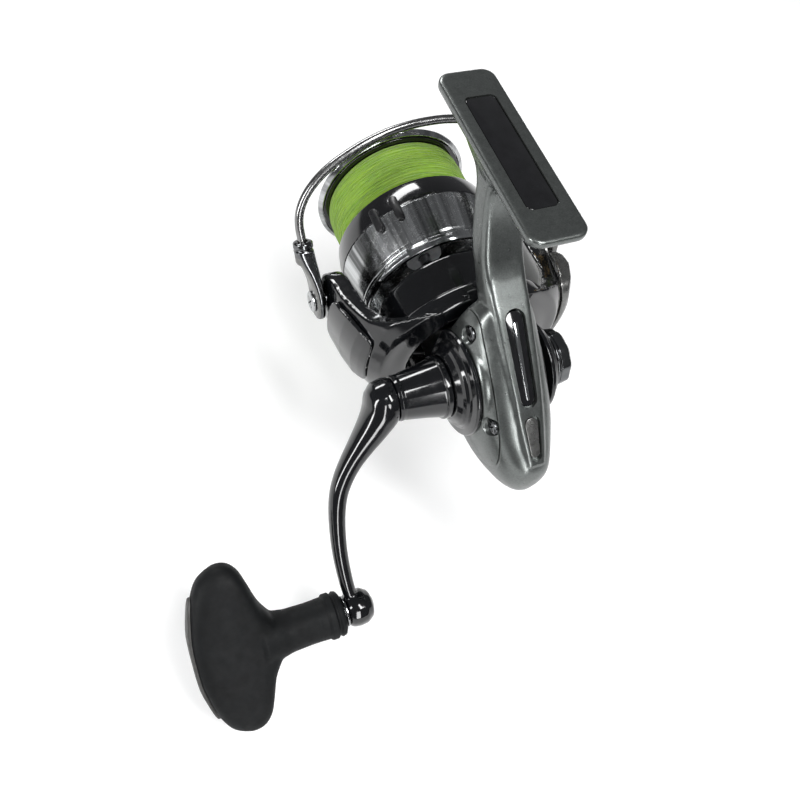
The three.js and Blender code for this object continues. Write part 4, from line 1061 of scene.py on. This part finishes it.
bail_wire()
bail_holder()
bail_arm()
finish(screw("roller_bolt", ROLLER, head_y=-42.0, head_r=2.1, tip_y=-32.0, shank_r=0.85),
       "bail", "polished_steel", "roller_screw")
finish(lathe("roller_race", [(-37.2, 1.2), (-37.2, 2.1, 0.15), (-35.0, 2.1, 0.15),
                             (-35.0, 1.2)], "y", ROLLER, 48),
       "bail", "polished_steel", "roller_bearing")
finish(lathe("line_roller_turned", [
    (-38.2, 2.4), (-38.2, 3.7, 0.15), (-37.5, 3.7, 0.2), (-36.2, 2.95, 0.7), (-34.9, 3.7, 0.2),
    (-34.2, 3.7, 0.15), (-34.2, 2.4)], "y", ROLLER, 96), "roller", "brass", "line_roller")
finish(screw("pivot_bolt_left", PIVOT, head_y=40.5, head_r=3.2, tip_y=31.2, shank_r=1.75),
       "rotor", "polished_steel", "pivot_screw_left")
finish(screw("pivot_bolt_right", PIVOT, head_y=-42.3, head_r=3.3, tip_y=-31.2, shank_r=1.75),
       "rotor", "polished_steel", "pivot_screw_right")

# ---------------------------------------------------------------- spool
# x, radius, corner radius
SPOOL = [
    (51.4, 2.2, 0.1), (66, 2.2, 0.1), (66, 12.4, 0.1), (79.2, 12.4, 0.15), (79.25, 14, 0.1),
    (79.0, 23.9, 0.15), (77.2, 23.9, 0.2), (77.2, 17.2, 0.1), (60.3, 17.2, 0.1),
    (60.3, 24.2, 0.3), (59.4, 25.2, 0.5), (56.2, 25.9, 1.0), (52.1, 26.25, 0.1),
    (51.9, 26.0, 0.05), (51.4, 26.0, 0.05), (51.2, 26.3, 0.1), (46.2, 25.4, 1.0),
    (40.4, 24.1, 0.2), (39.9, 23.7, 0.1), (39.3, 23.6, 0.1), (39.3, 23.1, 0.1),
    (57.8, 23.1, 0.2), (57.8, 15.4, 0.2), (63.5, 15.4, 0.2), (63.5, 5.2, 0.2), (51.4, 5.2, 0.2)]
# x, outer radius of the wound line
LINE = [(60.7, 22.35), (62, 22.9), (66, 23.15), (71, 23.15), (75, 22.95), (76.8, 22.35)]
LINE_REAR, LINE_WIDTH, LINE_BORE_R, LINE_PITCH = 60.7, 16.1, 17.5, 0.52


def on_black_band(center, _):
    """Faces of the band ahead of the skirt groove, and of the front flange."""
    radius = math.hypot(center.y, center.z)
    return (51.95 < center.x < 61 and radius > 23.5) or center.x > 76.9


def line_winding():
    """Sleeve of wound line, with a ridge per turn and a slightly uneven lay."""
    stations, seg = 190, 220
    angles = [2 * math.pi * k / seg for k in range(seg)]
    verts = []
    for i in range(stations + 1):
        x = LINE_REAR + LINE_WIDTH * i / stations
        envelope = np.interp(x, *zip(*LINE))
        for q in angles:
            shift = 0.32 * math.sin(q + 0.6) + 0.14 * math.sin(3 * q + x * 0.7)
            ridge = abs(math.sin(math.pi * (x + shift) / LINE_PITCH)) ** 0.7
            lay = (0.10 * math.sin(2 * math.pi * (x * 0.19) + 2 * q)
                   + 0.06 * math.sin(2 * math.pi * x * 0.37 - 3 * q))
            r = envelope - 0.16 + 0.13 * ridge + 0.6 * lay
            verts.append((x, r * math.cos(q), r * math.sin(q)))
    for x in (76.8, LINE_REAR):
        verts += [(x, LINE_BORE_R * math.cos(q), LINE_BORE_R * math.sin(q)) for q in angles]
    faces = []
    for start in range(0, len(verts), seg):
        following = (start + seg) % len(verts)
        for k in range(seg):
            k2 = (k + 1) % seg
            faces.append((start + k, start + k2, following + k2, following + k))
    line = make("line_winding", verts, faces)
    shade(line, 80)
    finish(line, "spool", "line_green", "fishing_line")


def line_keeper(letter, degrees):
    """Small raised oval on the skirt, at an angle around the shaft."""
    rings = []
    for inset, height in ((0.0, 0.2), (0.0, 0.75), (0.12, 0.98), (0.4, 1.1)):
        r = 26.3 + height - 0.2
        ring = []
        for x, across in rounded_rectangle(51.5, 8.6 - 2 * inset, 2.6 - 2 * inset, 1.29 - inset):
            angle = math.radians(degrees) - across / 26.6
            ring.append((x, r * math.cos(angle), r * math.sin(angle)))
        rings.append(ring)
    finish(loft("line_keeper_" + letter, rings), "spool", "clip_black", "line_clip_" + letter)


def drag_knob():
    def notched(x, radius, angle):
        if x > 79.2 and radius > 9.2:
            return radius - 0.9 * max(0.0, math.cos(8 * angle)) ** 3
        return radius

    knob = lathe("drag_knob_moulded", [
        (71.9, 0), (71.9, 10.9, 0.3), (79.4, 11.0, 0.3), (80.0, 11.7, 0.4), (83.4, 11.7, 0.5),
        (84.2, 10.9, 0.4), (84.5, 9.6, 0.3), (84.1, 8.6, 0.2), (84.1, 3.0, 0.2),
        (84.4, 2.6, 0.2), (84.4, 0)], seg=192, steps=5, shape=notched)
    cut(knob, cylinder("x", 70, 77, 2.1))
    shade(knob, 35)
    finish(knob, "drag", "gloss_black", "drag_knob")


finish(lathe("spool_turned", SPOOL, seg=200), "spool", "spool_alloy", "spool",
       second=("band_black", on_black_band))
finish(lathe("spool_lip_turned", [
    (80.4, 22.0), (80.4, 23.5, 0.5), (80.1, 24.8, 0.5), (79.2, 25.5, 0.5), (78.4, 25.5, 0.4),
    (77.5, 24.6, 0.4), (77.5, 24.2, 0.1), (79.5, 24.2, 0.1), (79.5, 22.0)], seg=220, steps=6),
    "spool", "spool_alloy", "spool_lip_ring", look="chrome_ring")
finish(lathe("skirt_rear_ring", [
    (35.7, 23.2, 0.15), (35.7, 24.2, 0.2), (36.3, 24.6, 0.25), (37.3, 24.65, 0.1),
    (37.5, 24.35, 0.1), (37.8, 24.35, 0.1), (38.0, 24.65, 0.1), (38.5, 24.6, 0.2),
    (39.0, 24.2, 0.15), (39.0, 23.2, 0.15)], seg=200),
    "spool", "spool_alloy", "skirt_ring", look="chrome_ring")
line_winding()
line_keeper("a", 47)
line_keeper("b", 62)
drag_knob()
finish(lathe("main_shaft_ground", [(SHAFT_REAR, 0), (SHAFT_REAR, 1.8, 0.2), (76, 1.8, 0.3),
                                   (76, 0)], seg=48), "shaft", "polished_steel", "main_shaft")

# ---------------------------------------------------------------- parts that keep their CAD shape
for part in frame["record"]["subparts"]:
    piece = frame["nodes"][part["node"]]
    if piece.hide_render:
        continue
    mesh = piece.data
    mesh.materials.clear()
    mesh.materials.append(MATERIALS[part["material_slot"]])
    mesh.polygons.foreach_set("use_smooth", [True] * len(mesh.polygons))
    mesh.set_sharp_from_angle(angle=math.radians(32))


# ---------------------------------------------------------------- floor, light and camera, metres
def camera_only(nodes, bright, dim):
    """Strength that is bright for the camera and dim for everything the reel reflects."""
    seen = nodes.node("LightPath").outputs["Is Camera Ray"]
    return nodes.ramp(seen, 0.0, 1.0, low=dim, high=bright)


def add_floor(half=4, z=-0.064):
    material = bpy.data.materials.new("floor")
    material.use_nodes = True
    nodes = Nodes(material.node_tree)
    nodes.feed(nodes.tree.nodes["Principled BSDF"], {
        "Base Color": (0.80, 0.80, 0.80, 1), "Roughness": 0.95, "Specular IOR Level": 0.1,
        "Emission Color": (1, 1, 1, 1),
        "Emission Strength": camera_only(nodes, bright=0.30, dim=0.0)})
    mesh = bpy.data.meshes.new("floor")
    corners = [(-half, -half, z), (half, -half, z), (half, half, z), (-half, half, z)]
    mesh.from_pydata(corners, [], [(0, 1, 2, 3)])
    mesh.transform(Matrix.Translation(SHIFT))
    mesh.materials.append(material)
    add_object("floor", mesh)


def add_world():
    world = bpy.data.worlds.new("studio")
    world.use_nodes = True
    nodes = Nodes(world.node_tree)
    nodes.feed(nodes.tree.nodes["Background"], {
        "Color": (0.95, 0.97, 1.0, 1), "Strength": camera_only(nodes, bright=0.85, dim=0.12)})
    SCENE.world = world


def add_light(name, at, size, power, target=(0.02, 0, 0.01)):
    """Rectangular light of the given size, in watts, aimed at the target."""
    light = bpy.data.lights.new(name, "AREA")
    light.shape = "RECTANGLE"
    light.size, light.size_y = size
    light.energy = power
    lamp = add_object(name, light)
    lamp.location = Vector(at) + SHIFT
    lamp.rotation_euler = (Vector(target) - Vector(at)).to_track_quat("-Z", "Y").to_euler()


def add_camera():
    lens = bpy.data.cameras.new("camera")
    lens.sensor_width = 36.0
    lens.lens = 36.8037
    lens.clip_start = 0.01
    lens.clip_end = 20
    camera = add_object("camera", lens)
    right = (-0.36058, -0.92039, 0.15117)
    up = (0.83269, -0.24462, 0.49678)
    back = (-0.42026, 0.30501, 0.85461)
    pose = Matrix((right, up, back)).transposed().to_4x4()
    pose.translation = (-0.09535, 0.09767, 0.19909)
    camera.matrix_world = Matrix.Translation(SHIFT) @ pose
    SCENE.camera = camera


add_floor()
add_world()
SCENE.view_settings.view_transform = "Standard"
SCENE.view_settings.look = "None"
add_light("key", at=(-0.30, -0.15, 0.80), size=(0.22, 0.5), power=5.5)
add_light("left", at=(-0.1, 0.75, 0.40), size=(0.14, 0.6), power=4.0)
add_light("front", at=(0.75, 0.1, 0.50), size=(0.5, 0.16), power=3.0)
add_light("back", at=(-0.6, 0.1, 0.22), size=(0.10, 0.5), power=1.5, target=(0.0, 0, 0.0))
add_camera()
